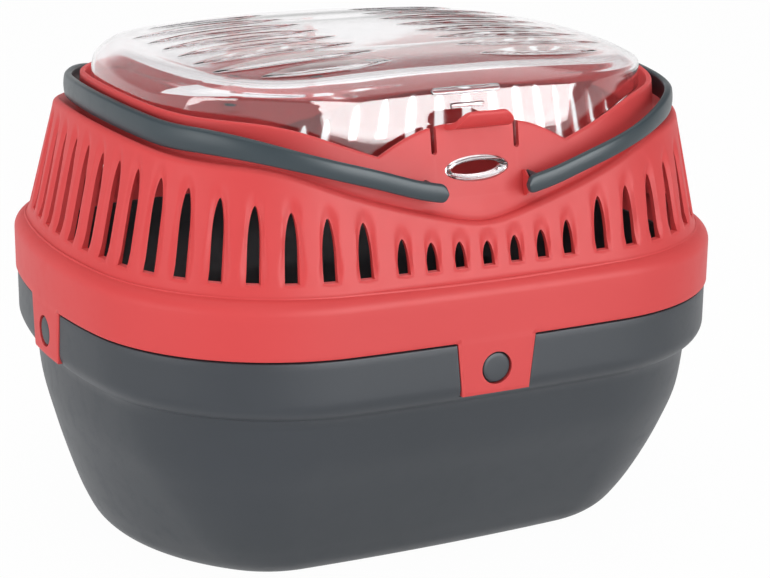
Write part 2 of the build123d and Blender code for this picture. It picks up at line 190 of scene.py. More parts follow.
@dataclass(frozen=True)
class Wave:
    """Wavy edge, the same on both sides: height over the distance from the middle.

    Between its points it is a natural cubic spline, mirrored about the middle.
    """

    points: Points
    mirrored: bool = True

    def knots(self) -> tuple[Array, Array]:
        """The points as arrays, with their mirror images where the wave is mirrored."""
        xs, zs = (np.array(values, float) for values in zip(*self.points))
        if not self.mirrored:
            return xs, zs
        keep = xs > 0
        return np.concatenate([-xs[keep][::-1], xs]), np.concatenate([zs[keep][::-1], zs])

    def __call__(self, x: Array) -> Array:
        """Height at distances from the middle.

        The second derivatives solve the usual three-term equations, and each span is
        the cubic that they give.

        Args:
            x: Distances, whose sign doesn't matter.

        Returns:
            Heights, held level past the last point.
        """
        xs, zs = self.knots()
        count = len(xs)
        step = np.diff(xs)
        slope = np.diff(zs) / step
        system = np.eye(count)
        rows = np.arange(1, count - 1)
        system[rows, rows - 1] = step[:-1]
        system[rows, rows] = 2.0 * (step[:-1] + step[1:])
        system[rows, rows + 1] = step[1:]
        right = np.zeros(count)
        right[1:-1] = 6.0 * np.diff(slope)
        bend = np.linalg.solve(system, right)
        x = np.clip(np.abs(np.asarray(x, float)), max(xs[0], 0.0), xs[-1])
        span = np.clip(np.searchsorted(xs, x, side="right") - 1, 0, count - 2)
        h = step[span]
        left = (xs[span + 1] - x) / h
        over = 1.0 - left
        curve = (left**3 - left) * bend[span] + (over**3 - over) * bend[span + 1]
        return left * zs[span] + over * zs[span + 1] + curve * h * h / 6.0


def through(levels: Array, steps: int) -> Array:
    """More levels between given ones, along a curve that keeps each column's rises and falls.

    Each span is a Hermite cubic whose end slopes are the harmonic means of the
    neighbouring slopes, and zero where these differ in sign.

    Args:
        levels: Rows of numbers, one row per level.
        steps: Parts that each span is cut into.

    Returns:
        The finer rows.
    """
    slope = np.diff(levels, axis=0)
    ends = np.zeros_like(levels)
    both = slope[:-1] * slope[1:]
    total = slope[:-1] + slope[1:]
    safe = np.where(both > 0, total, 1.0)
    ends[1:-1] = np.where(both > 0, 2.0 * both / safe, 0.0)
    ends[0] = slope[0]
    ends[-1] = slope[-1]
    u = (np.arange(steps) / steps)[None, :, None]
    p0, p1 = levels[:-1, None], levels[1:, None]
    m0, m1 = ends[:-1, None], ends[1:, None]
    curve = (2 * u**3 - 3 * u**2 + 1) * p0 + (u**3 - 2 * u**2 + u) * m0
    curve = curve + (3 * u**2 - 2 * u**3) * p1 + (u**3 - u**2) * m1
    return np.concatenate([curve.reshape(-1, levels.shape[1]), levels[-1:]])


class MeshMaker:
    """Collects grids of points and turns them into one mesh object."""

    def __init__(self, name: str) -> None:
        """Starts an empty piece with its name."""
        self.name = name
        self.points: list[Array] = []
        self.faces: list[Array] = []
        self.count = 0

    def grid(self, rows: Array, closed: bool = True, ring: bool = False) -> None:
        """Adds a grid: each face joins two neighbours in a row with those in the next row.

        Args:
            rows: Points, shaped rows by columns by three.
            closed: Whether the last column joins the first.
            ring: Whether the last row joins the first.
        """
        high, wide = rows.shape[:2]
        index = np.arange(high * wide).reshape(high, wide)
        if closed:
            index = np.concatenate([index, index[:, :1]], axis=1)
        if ring:
            index = np.concatenate([index, index[:1]], axis=0)
        quads = np.stack([index[:-1, :-1], index[:-1, 1:], index[1:, 1:], index[1:, :-1]], axis=-1)
        self.points.append(rows.reshape(-1, 3))
        self.faces.append(quads.reshape(-1, 4) + self.count)
        self.count += high * wide

    def wrap(self, body: Array) -> None:
        """Adds a closed body from rows that run round it, and closes its two ends.

        The first half of the rows faces the second half, so each end is closed by
        faces between the end points of rows that face each other.

        Args:
            body: Points, shaped rows by columns by three.
        """
        self.grid(body, closed=False, ring=True)
        count = len(body) // 2
        for column in (0, -1):
            edge = body[:, column]
            self.grid(np.stack([edge[:count], edge[::-1][:count]]), closed=False)

    def build(self, weld: float = 0.004, sharp: float = SHARP) -> bpy.types.Object:
        """Makes the object: merges doubles, turns faces outwards and shades it smooth.

        Args:
            weld: Distance under which points merge, in millimetres.
            sharp: Angle in degrees above which an edge stays sharp.

        Returns:
            The mesh object, linked to the scene.
        """
        points = np.concatenate(self.points) * MM
        quads = np.concatenate(self.faces).astype(np.int32)
        mesh = bpy.data.meshes.new(self.name)
        mesh.vertices.add(len(points))
        mesh.vertices.foreach_set("co", points.astype(np.float32).ravel())
        mesh.loops.add(quads.size)
        mesh.loops.foreach_set("vertex_index", quads.ravel())
        mesh.polygons.add(len(quads))
        mesh.polygons.foreach_set("loop_start", np.arange(0, quads.size, 4, dtype=np.int32))
        mesh.update(calc_edges=True)
        clean = bmesh.new()
        clean.from_mesh(mesh)
        bmesh.ops.remove_doubles(clean, verts=clean.verts, dist=weld * MM)
        bmesh.ops.dissolve_degenerate(clean, edges=clean.edges, dist=weld * MM * 0.5)
        bmesh.ops.recalc_face_normals(clean, faces=clean.faces)
        clean.to_mesh(mesh)
        clean.free()
        mesh.update()
        shade(mesh, sharp)
        piece = bpy.data.objects.new(self.name, mesh)
        bpy.context.scene.collection.objects.link(piece)
        return piece


def shade(mesh: bpy.types.Mesh, sharp: float) -> None:
    """Smooth shading with edges kept sharp above an angle in degrees."""
    mesh.polygons.foreach_set("use_smooth", np.ones(len(mesh.polygons), bool))
    mesh.set_sharp_from_angle(angle=math.radians(sharp))


def carve(piece: bpy.types.Object, cutters: Sequence[bpy.types.Object]) -> None:
    """Cuts solids out of a piece.

    Args:
        piece: The piece to change.
        cutters: Closed solids, removed afterwards.
    """
    for cutter in cutters:
        bpy.context.view_layer.update()
        change = piece.modifiers.new("cut", "BOOLEAN")
        change.operation = "DIFFERENCE"
        change.solver = "EXACT"
        change.object = cutter
        graph = bpy.context.evaluated_depsgraph_get()
        mesh = bpy.data.meshes.new_from_object(piece.evaluated_get(graph))
        piece.modifiers.clear()
        old = piece.data
        piece.data = mesh
        mesh.name = piece.name
        bpy.data.meshes.remove(old)
        bpy.data.objects.remove(cutter)
    shade(piece.data, SHARP)


def join(piece: bpy.types.Object, other: bpy.types.Object) -> bpy.types.Object:
    """One object from two: adds the other's mesh to the piece.

    Args:
        piece: The object that stays.
        other: The object that is taken into it.

    Returns:
        The piece.
    """
    bpy.context.view_layer.update()
    with bpy.context.temp_override(active_object=piece, selected_editable_objects=[piece, other]):
        bpy.ops.object.join()
    return piece


def close_ends(rows: Sequence[Array]) -> Array:
    """Rows with a middle point, repeated round, before the first and after the last.

    Args:
        rows: Rows of points, all of one length.

    Returns:
        The rows as one array.
    """
    first = np.repeat(rows[0].mean(axis=0, keepdims=True), len(rows[0]), axis=0)
    last = np.repeat(rows[-1].mean(axis=0, keepdims=True), len(rows[-1]), axis=0)
    return np.stack([first, *rows, last])


def block_rows(x: tuple[float, float], y: tuple[float, float], z: tuple[float, float]) -> Array:
    """Closed rows of a straight block between pairs of limits.

    Args:
        x: Limits along X.
        y: Limits along Y.
        z: Limits along Z.

    Returns:
        The block's rows.
    """
    xs = np.array([x[0], x[1], x[1], x[0]])
    ys = np.array([y[0], y[0], y[1], y[1]])
    return close_ends([np.stack([xs, ys, np.full(4, height)], axis=-1) for height in z])


def solid(name: str, rows: Array) -> bpy.types.Object:
    """One solid from closed rows, used to cut with.

    Args:
        name: Name of the solid.
        rows: Closed rows of points.

    Returns:
        The solid.
    """
    maker = MeshMaker(name)
    maker.grid(rows)
    return maker.build()


def turned(
    radii: Sequence[float], places: Sequence[float], origin: Triple, axis: Triple, sides: int
) -> Array:
    """Closed rows of a turned form: circles of given radii at places along an axis.

    Args:
        radii: Radius of each circle.
        places: Place of each circle along the axis.
        origin: Where the axis starts.
        axis: Direction of the axis.
        sides: Points on each circle.

    Returns:
        Rows of points, closed by a middle point at both ends.
    """
    way = np.array(axis, float) / np.linalg.norm(axis)
    side = np.cross(way, [0.0, 0.0, 1.0])
    side = side / np.linalg.norm(side)
    other = np.cross(way, side)
    angle = np.linspace(0.0, 2.0 * np.pi, sides, endpoint=False)
    circle = np.cos(angle)[:, None] * side + np.sin(angle)[:, None] * other
    return close_ends(
        [np.array(origin) + way * place + circle * radius for radius, place in zip(radii, places)]
    )


def ellipses(profile: Sequence[Triple], centre: float, sides: int) -> list[Array]:
    """Rows of an oval form along Y, about x 0 and a height.

    Args:
        profile: Half axis along X, half axis along Z and y of each ellipse.
        centre: Height of the middle.
        sides: Points on each ellipse.

    Returns:
        One row per ellipse.
    """
    angle = np.linspace(0.0, 2.0 * np.pi, sides, endpoint=False)
    return [
        np.stack([rx * np.cos(angle), np.full(sides, y), centre + rz * np.sin(angle)], axis=-1)
        for rx, rz, y in profile
    ]


@dataclass(frozen=True)
class Plan:
    """Driving sizes that more than one piece follows."""

    half_length: float = 150.0
    half_width: float = 126.6
    corner: float = 88.0
    split: float = 112.0
    ledge: float = 136.5
    slot_foot: float = 141.4
    slot_length: float = 142.8
    slot_width: float = 121.2
    slot_corner: float = 84.0
    slot_lean_x: float = 0.228
    slot_lean_y: float = 0.26
    slot_drift: float = 0.06
    apron_foot: float = 160.0
    apron_length: float = 124.6
    apron_width: float = 106.5
    apron_corner: float = 78.0
    apron_lean_x: float = 0.075
    apron_lean_y: float = 0.165
    hinge_line: float = 168.0
    wall: float = 2.4
    apron_wall: float = 2.2
    shift: float = -5.0
    notch_x: float = 43.2
    notch_z: float = 186.8
    oval_centre: float = 179.1
    pivot_x: float = 23.5
    pivot_z: float = 175.0
    lid_hinge_y: float = 98.9
    lid_hinge_z: float = 201.2
    ear_inner: float = 17.4
    ear_thickness: float = 4.0
    tab_shift: float = 1.2
    tab_slope: float = 2.5 / 23.0
    stud_height: float = 99.6
    ledge_wave: Wave = Wave(
        (
            (0, 159.0),
            (20, 162.5),
            (48, 170.5),
            (70, 178.5),
            (86, 184.0),
            (104, 186.4),
            (124, 189.0),
            (134, 192.5),
        )
    )
    rim_wave: Wave = Wave(
        (
            (notch_x, notch_z),
            (60, 193.0),
            (76, 198.5),
            (90, 201.0),
            (108, 201.9),
            (118, 203.2),
            (124, 205.0),
        ),
        mirrored=False,
    )
    apron_wave: Wave = Wave(((0, 197.6), (18.9, 196.6), (31, 193.0), (notch_x, notch_z)))
    handle_wave: Wave = Wave(
        (
            (18.8, 172.2),
            (30, 174.6),
            (48, 180.2),
            (60, 183.6),
            (70, 186.3),
            (80, 188.9),
            (90, 191.4),
            (100, 193.4),
            (112, 194.7),
            (121, 195.2),
            (127.5, 197.0),
        ),
        mirrored=False,
    )
    lid_wave: Wave = Wave(
        (
            (0, 184.0),
            (notch_x, 184.0),
            (60, 190.0),
            (76, 195.4),
            (90, 198.0),
            (108, 198.9),
            (119.5, 201.0),
        )
    )

    def skirt(self, inset: Array) -> Oval:
        """Outline of the skirt and band at an inset from the carrier's full plan."""
        corner = self.corner - 0.5 * np.asarray(inset, float)
        return Oval(self.half_length - inset, self.half_width - inset, corner)

    def slotted(self, z: Array, inset: Array) -> Oval:
        """Outline of the slotted wall, which leans in as it rises.

        Args:
            z: Height.
            inset: Distance inwards from the outer face.

        Returns:
            The outline there.
        """
        rise = np.asarray(z, float) - self.slot_foot
        a = self.slot_length - self.slot_lean_x * rise - inset
        b = self.slot_width - self.slot_lean_y * rise - inset
        corner = self.slot_corner - self.slot_lean_x * rise - inset
        return Oval(a, b, corner, -self.slot_drift * rise)

    def apron(self, z: Array, inset: Array) -> Oval:
        """Outline of the inset apron and rim, which lean in as they rise.

        Args:
            z: Height.
            inset: Distance inwards from the outer face.

        Returns:
            The outline there.
        """
        rise = np.asarray(z, float) - self.apron_foot
        a = self.apron_length - self.apron_lean_x * rise - inset
        b = self.apron_width - self.apron_lean_y * rise - inset
        corner = self.apron_corner - self.apron_lean_y * rise - inset
        return Oval(a, b, corner, self.shift)

    def rim(self, x: Array) -> Array:
        """Height of the rim: the apron's crest in the middle, the rim's wave past its notch."""
        x = np.abs(np.asarray(x, float))
        return np.where(x < self.notch_x, self.apron_wave(x), self.rim_wave(x))

    def apron_front(self, x: Array, z: Array, inset: Array) -> Array:
        """y of the apron's front face, a bow whose radius is nine half lengths.

        Args:
            x: Distance from the middle.
            z: Height.
            inset: Distance inwards from the outer face.

        Returns:
            y of the face.
        """
        ring = self.apron(z, inset)
        bow = ring.bow_ratio * ring.half_length
        return self.shift - (ring.half_width - bow + np.sqrt(bow**2 - np.asarray(x, float) ** 2))

    def side_face(self, index: int, x: Array, inset: float) -> Array:
        """Distance of the skirt's face from the middle, at x along side 0 to 3.

        Sides 0 and 2 lie on the long bow and sides 1 and 3 on the end bow, each a circle
        whose centre is on the axis.

        Args:
            index: Side, from the front round by the right.
            x: Distance from the side's middle.
            inset: Distance inwards from the outer face.

        Returns:
            Distance of the face from the carrier's middle.
        """
        ring = self.skirt(inset)
        if index % 2 == 0:
            radius = ring.bow_ratio * ring.half_length
            reach = ring.half_width
        else:
            radius = ring.end_ratio * ring.half_width
            reach = ring.half_length
        return reach - radius + np.sqrt(radius**2 - np.asarray(x, float) ** 2)

    @staticmethod
    def side_way(index: int) -> tuple[float, float]:
        """Direction from the middle to side 0 to 3, as its x and y."""
        angle = math.pi / 2 * index - math.pi / 2
        return math.cos(angle), math.sin(angle)


PLAN = Plan()


def on(ring: Oval, t: Array, z: Array) -> Array:
    """Points of an outline at heights, as an array with a last axis of three."""
    x, y, _, _ = ring.at(t)
    return np.stack(np.broadcast_arrays(x, y, np.asarray(z, float)), axis=-1)


def bezier(first: Array, control: Array, last: Array, steps: int) -> list[Array]:
    """Rows along a curve that starts towards a control row and ends coming from it.

    Each row is the first times the square of what is left, the last times the square
    of the share, and twice the product of both times the control row.

    Args:
        first: Row where the curve starts, which isn't repeated.
        control: Row that the curve bends towards.
        last: Row where it ends.
        steps: Number of rows.

    Returns:
        The rows.
    """
    shares = np.arange(1, steps + 1) / steps
    return [(1 - u) ** 2 * first + 2 * u * (1 - u) * control + u * u * last for u in shares]


class Finish(Enum):
    """The carrier's four finishes, by the record's material slots."""

    GREY = "grey_plastic"
    RED = "red_plastic"
    DARK = "dark_plastic"
    CLEAR = "clear_plastic"


@dataclass(frozen=True)
class Moulded:
    """Satin moulded plastic: its colour, how it varies, its gloss, its grain and any painted shade inside
    the tub.
    """

    name: str
    colour: Triple
    deep: Triple
    worn: Triple
    roughness: float
    spread: float
    grain: float
    wear: float
    sheen: float
    # Painted shade: a darker colour for faces that look into the tub, where shade falls; None paints none.
    inside: Optional[Triple] = None
    clouds: float = 14.0
    refraction: float = 1.48
    grain_depth: float = 0.25


@dataclass(frozen=True)
class Clear:
    """Clear polystyrene: its tint, refraction and gloss, and the lamp light it lets through."""

    name: str
    colour: Triple
    refraction: float
    roughness: float
    spread: float
    lamp_light: Triple
    clouds: float


CORAL = Moulded(
    name="coral_red_plastic",
    colour=(0.645, 0.064, 0.065),
    deep=(0.625, 0.058, 0.059),
    worn=(0.8, 0.18, 0.17),
    roughness=0.48,
    spread=0.06,
    grain=0.05,
    wear=0.12,
    sheen=0.22,
)
SLATE = Moulded(
    name="slate_grey_plastic",
    colour=(0.043, 0.049, 0.058),
    deep=(0.039, 0.045, 0.053),
    worn=(0.1, 0.11, 0.125),
    roughness=0.44,
    spread=0.06,
    grain=0.06,
    wear=0.35,
    sheen=0.34,
    # inside is painted shade on the tub's inner faces, not the plastic's own colour.
    inside=(0.012, 0.013, 0.015),
)
HANDLE_GREY = Moulded(
    name="handle_grey_plastic",
    colour=(0.042, 0.058, 0.068),
    deep=(0.038, 0.052, 0.061),
    worn=(0.1, 0.12, 0.135),
    roughness=0.36,
    spread=0.05,
    grain=0.04,
    wear=0.4,
    sheen=0.3,
)
POLYSTYRENE = Clear(
    name="clear_plastic",
    colour=(0.985, 0.972, 0.985),
    refraction=1.62,
    roughness=0.03,
    spread=0.04,
    lamp_light=(0.95, 0.94, 0.95),
    clouds=30.0,
)


def feed(tree: Tree, value: Union[float, Socket], place: Socket) -> None:
    """Gives a socket a number, or links another node's output to it.

    Args:
        tree: Tree that both nodes are in.
        value: The number or the output.
        place: The socket.
    """
    if isinstance(value, Socket):
        tree.links.new(value, place)
    else:
        place.default_value = value


def calculate(tree: Tree, operation: str, *values: Union[float, Socket]) -> Socket:
    """Result of one Math node.

    Args:
        tree: Tree that the node goes into.
        operation: What the node does.
        values: Its inputs in order, each a number or a node's output.

    Returns:
        The node's output.
    """
    node = tree.nodes.new("ShaderNodeMath")
    node.operation = operation
    for value, place in zip(values, node.inputs):
        feed(tree, value, place)
    return node.outputs[0]


def ramp(
    tree: Tree, value: Socket, start: tuple[float, float], end: tuple[float, float] = (0.0, 1.0)
) -> Socket:
    """A value mapped evenly from one span to another, and held at its ends.

    Args:
        tree: Tree that the node goes into.
        value: What is mapped.
        start: Span of the value.
        end: Span of the result.

    Returns:
        The mapped value.
    """
    node = tree.nodes.new("ShaderNodeMapRange")
    labels = ("From Min", "From Max", "To Min", "To Max")
    for label, number in zip(labels, (*start, *end)):
        node.inputs[label].default_value = number
    tree.links.new(value, node.inputs["Value"])
    return node.outputs["Result"]


def blend_values(tree: Tree, share: Socket, first: Socket, second: Union[float, Socket]) -> Socket:
    """A mix of two numbers by a share.

    Args:
        tree: Tree that the node goes into.
        share: Share of the second number.
        first: Node's output with a number.
        second: Number, or a node's output with one.

    Returns:
        The mixed number.
    """
    node = tree.nodes.new("ShaderNodeMix")
    tree.links.new(share, node.inputs["Factor"])
    tree.links.new(first, node.inputs[2])
    feed(tree, second, node.inputs[3])
    return node.outputs[0]


def blend_colours(tree: Tree, share: Socket, first: Union[Triple, Socket], second: Triple) -> Socket:
    """A mix of two colours by a share.

    Args:
        tree: Tree that the node goes into.
        share: Share of the second colour.
        first: Colour, or a node's output with one.
        second: Colour.

    Returns:
        The mixed colour.
    """
    node = tree.nodes.new("ShaderNodeMix")
    node.data_type = "RGBA"
    tree.links.new(share, node.inputs["Factor"])
    feed(tree, first if isinstance(first, Socket) else (*first, 1.0), node.inputs[6])
    node.inputs[7].default_value = (*second, 1.0)
    return node.outputs[2]


def noise(tree: Tree, vector: Socket, scale: Union[float, Socket], detail: float, rough: float) -> Socket:
    """Share of a noise.

    Args:
        tree: Tree that the node goes into.
        vector: Place on the piece.
        scale: How fine the noise is.
        detail: How many finer noises it adds.
        rough: How strong they are.

    Returns:
        The noise's share.
    """
    node = tree.nodes.new("ShaderNodeTexNoise")
    feed(tree, scale, node.inputs["Scale"])
    node.inputs["Detail"].default_value = detail
    node.inputs["Roughness"].default_value = rough
    tree.links.new(vector, node.inputs["Vector"])
    return node.outputs["Fac"]


class Groups:
    """Shared shader groups: moulding grain, cloudy tone, rubbed edges and a mask of the inner faces for
    painted shade.
    """

    def __init__(self) -> None:
        """Builds each group once."""
        self.grain = self.make_grain()
        self.tone = self.make_tone()
        self.wear = self.make_wear()
        self.inner = self.make_painted_inner_shade()

    @staticmethod
    def start(name: str, inputs: Sequence[tuple[str, float]], outputs: Sequence[str]) -> tuple[Tree, Socket]:
        """A new group with its sockets and its two end nodes.

        Args:
            name: Name of the group.
            inputs: Name and default value of each number that the group takes.
            outputs: Name of each number that it puts out.

        Returns:
            The group's node tree and its Vector input.
        """
        tree = bpy.data.node_groups.new(name, "ShaderNodeTree")
        tree.interface.new_socket("Vector", in_out="INPUT", socket_type="NodeSocketVector")
        for label, value in inputs:
            socket = tree.interface.new_socket(label, in_out="INPUT", socket_type="NodeSocketFloat")
            socket.default_value = value
        for label in outputs:
            tree.interface.new_socket(label, in_out="OUTPUT", socket_type="NodeSocketFloat")
        tree.nodes.new("NodeGroupInput").name = "in"
        tree.nodes.new("NodeGroupOutput").name = "out"
        return tree, tree.nodes["in"].outputs["Vector"]

    @staticmethod
    def put(tree: Tree, value: Socket, label: str) -> None:
        """Puts a value out of a group under a name."""
        tree.links.new(value, tree.nodes["out"].inputs[label])

    def make_grain(self) -> Tree:
        """Fine spark-eroded grain: two noises of different size, added."""
        tree, place = self.start("moulding_grain", [("Scale", 1400.0)], ["Height"])
        fine = noise(tree, place, tree.nodes["in"].outputs["Scale"], 3.0, 0.6)
        broad = noise(tree, place, 260.0, 2.0, 0.5)
        self.put(tree, calculate(tree, "MULTIPLY_ADD", broad, 0.45, fine), "Height")
        return tree

    def make_tone(self) -> Tree:
        """Cloudy share of tone for colour and gloss, and finer scuffs."""
        tree, place = self.start("cloudy_tone", [("Scale", 14.0)], ["Clouds", "Scuffs"])
        clouds = noise(tree, place, tree.nodes["in"].outputs["Scale"], 4.0, 0.55)
        scuffs = noise(tree, place, 120.0, 5.0, 0.7)
        self.put(tree, ramp(tree, clouds, (0.32, 0.68)), "Clouds")
        self.put(tree, ramp(tree, scuffs, (0.48, 0.72)), "Scuffs")
        return tree

    def make_painted_inner_shade(self) -> Tree:
        """Mask for painted shade: 1 where the surface faces a point at mid height inside the tub, else 0.

        There the way from that point to the surface and the surface's own direction
        point against each other, so their product is under 0.
        """
        tree, place = self.start("painted_inner_shade_mask", [], ["Mask"])
        shape = tree.nodes.new("ShaderNodeNewGeometry")
        away = tree.nodes.new("ShaderNodeVectorMath")
        away.operation = "SUBTRACT"
        away.inputs[1].default_value = (0.0, 0.0, 95.0 * MM)
        tree.links.new(place, away.inputs[0])
        facing = tree.nodes.new("ShaderNodeVectorMath")
        facing.operation = "DOT_PRODUCT"
        tree.links.new(away.outputs["Vector"], facing.inputs[0])
        tree.links.new(shape.outputs["Normal"], facing.inputs[1])
        self.put(tree, calculate(tree, "LESS_THAN", facing.outputs["Value"], 0.0), "Mask")
        return tree

    def make_wear(self) -> Tree:
        """Share of rubbing along outer edges, from how pointed the surface is."""
        tree, place = self.start("rubbed_edges", [("Amount", 0.5)], ["Mask"])
        shape = tree.nodes.new("ShaderNodeNewGeometry")
        edge = ramp(tree, shape.outputs["Pointiness"], (0.505, 0.56))
        broken = calculate(tree, "MULTIPLY", edge, noise(tree, place, 60.0, 3.0, 0.6))
        self.put(tree, calculate(tree, "MULTIPLY", broken, tree.nodes["in"].outputs["Amount"]), "Mask")
        return tree


class Materials:
    """The finishes of the carrier as node materials."""

    def __init__(self) -> None:
        """Builds the shared groups and the four finishes."""
        self.groups = Groups()
        self.made = {
            Finish.RED: self.moulded(CORAL),
            Finish.GREY: self.moulded(SLATE),
            Finish.DARK: self.moulded(HANDLE_GREY),
            Finish.CLEAR: self.clear(POLYSTYRENE),
        }

    @staticmethod
    def start(name: str) -> tuple[bpy.types.Material, Tree, bpy.types.Node]:
        """A new node material with its tree and its Principled shader."""
        material = bpy.data.materials.new(name)
        material.use_nodes = True
        return material, material.node_tree, material.node_tree.nodes["Principled BSDF"]

    @staticmethod
    def group(tree: Tree, which: Tree, values: Sequence[tuple[str, float]] = ()) -> bpy.types.Node:
        """Places a shared group in a material, fed by the place on the piece.

        Args:
            tree: The material's tree.
            which: The shared group.
            values: Name and value of each input that isn't left at its default.

        Returns:
            The group's node.
        """
        node = tree.nodes.new("ShaderNodeGroup")
        node.node_tree = which
        for label, value in values:
            node.inputs[label].default_value = value
        place = tree.nodes.new("ShaderNodeTexCoord").outputs["Object"]
        tree.links.new(place, node.inputs["Vector"])
        return node

    @staticmethod
    def choose(tree: Tree, share: Socket, first: Socket, second: Socket) -> None:
        """Ends a material on a mix of two shaders.

        Args:
            tree: The material's tree.
            share: Share of the second shader.
            first: Shader.
            second: Shader.
        """
        node = tree.nodes.new("ShaderNodeMixShader")
        tree.links.new(share, node.inputs["Fac"])
        tree.links.new(first, node.inputs[1])
        tree.links.new(second, node.inputs[2])
        tree.links.new(node.outputs["Shader"], tree.nodes["Material Output"].inputs["Surface"])

    @staticmethod
    def gloss(tree: Tree, shader: bpy.types.Node, scuffs: Socket, finish: Union[Moulded, Clear]) -> None:
        """Sets a shader's refraction, and lets scuffs raise its roughness by the finish's spread.

        Args:
            tree: The material's tree.
            shader: The Principled shader.
            scuffs: Share of the scuffs.
            finish: Roughness, spread and refraction.
        """
        span = (finish.roughness, finish.roughness + finish.spread)
        rough = ramp(tree, scuffs, (0.0, 1.0), span)
        tree.links.new(rough, shader.inputs["Roughness"])
        shader.inputs["IOR"].default_value = finish.refraction

    def moulded(self, finish: Moulded) -> bpy.types.Material:
        """Opaque moulded plastic.

        Args:
            finish: Colours, gloss and grain.

        Returns:
            The material.
        """
        material, tree, shader = self.start(finish.name)
        tone = self.group(tree, self.groups.tone, [("Scale", finish.clouds)])
        wear = self.group(tree, self.groups.wear, [("Amount", finish.wear)])
        base = blend_colours(tree, tone.outputs["Clouds"], finish.deep, finish.colour)
        final = blend_colours(tree, wear.outputs["Mask"], base, finish.worn)
        # Painted shade: faces inside the tub get a darker colour where the finish gives one.
        if finish.inside is not None:
            inner = self.group(tree, self.groups.inner)
            final = blend_colours(tree, inner.outputs["Mask"], final, finish.inside)
        tree.links.new(final, shader.inputs["Base Color"])
        self.gloss(tree, shader, tone.outputs["Scuffs"], finish)
        grain = self.group(tree, self.groups.grain)
        bump = tree.nodes.new("ShaderNodeBump")
        bump.inputs["Strength"].default_value = finish.grain
        bump.inputs["Distance"].default_value = finish.grain_depth * MM
        tree.links.new(grain.outputs["Height"], bump.inputs["Height"])
        tree.links.new(bump.outputs["Normal"], shader.inputs["Normal"])
        shader.inputs["Specular IOR Level"].default_value = finish.sheen
        return material

    def clear(self, finish: Clear) -> bpy.types.Material:
        """Clear plastic that lets lamp light through to what is behind it.

        Args:
            finish: Tint, refraction, gloss and the lamp light let through.

        Returns:
            The material.
        """
        material, tree, shader = self.start(finish.name)
        shader.inputs["Base Color"].default_value = (*finish.colour, 1.0)
        shader.inputs["Transmission Weight"].default_value = 1.0
        tone = self.group(tree, self.groups.tone, [("Scale", finish.clouds)])
        self.gloss(tree, shader, tone.outputs["Scuffs"], finish)
        path = tree.nodes.new("ShaderNodeLightPath")
        open_way = tree.nodes.new("ShaderNodeBsdfTransparent")
        open_way.inputs["Color"].default_value = (*finish.lamp_light, 1.0)
        shadow = path.outputs["Is Shadow Ray"]
        self.choose(tree, shadow, shader.outputs["BSDF"], open_way.outputs["BSDF"])
        return material

    def dress(self, piece: bpy.types.Object, finish: Finish) -> None:
        """Gives a piece its finish."""
        piece.data.materials.clear()
        piece.data.materials.append(self.made[finish])


def hang(piece: bpy.types.Object, body: str, node: str) -> None:
    """Hangs a piece on its body, lets it stand for its CAD node and reports it."""
    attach(piece, body)
    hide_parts(node)
    log.info("%s rides on %s", piece.name, body)


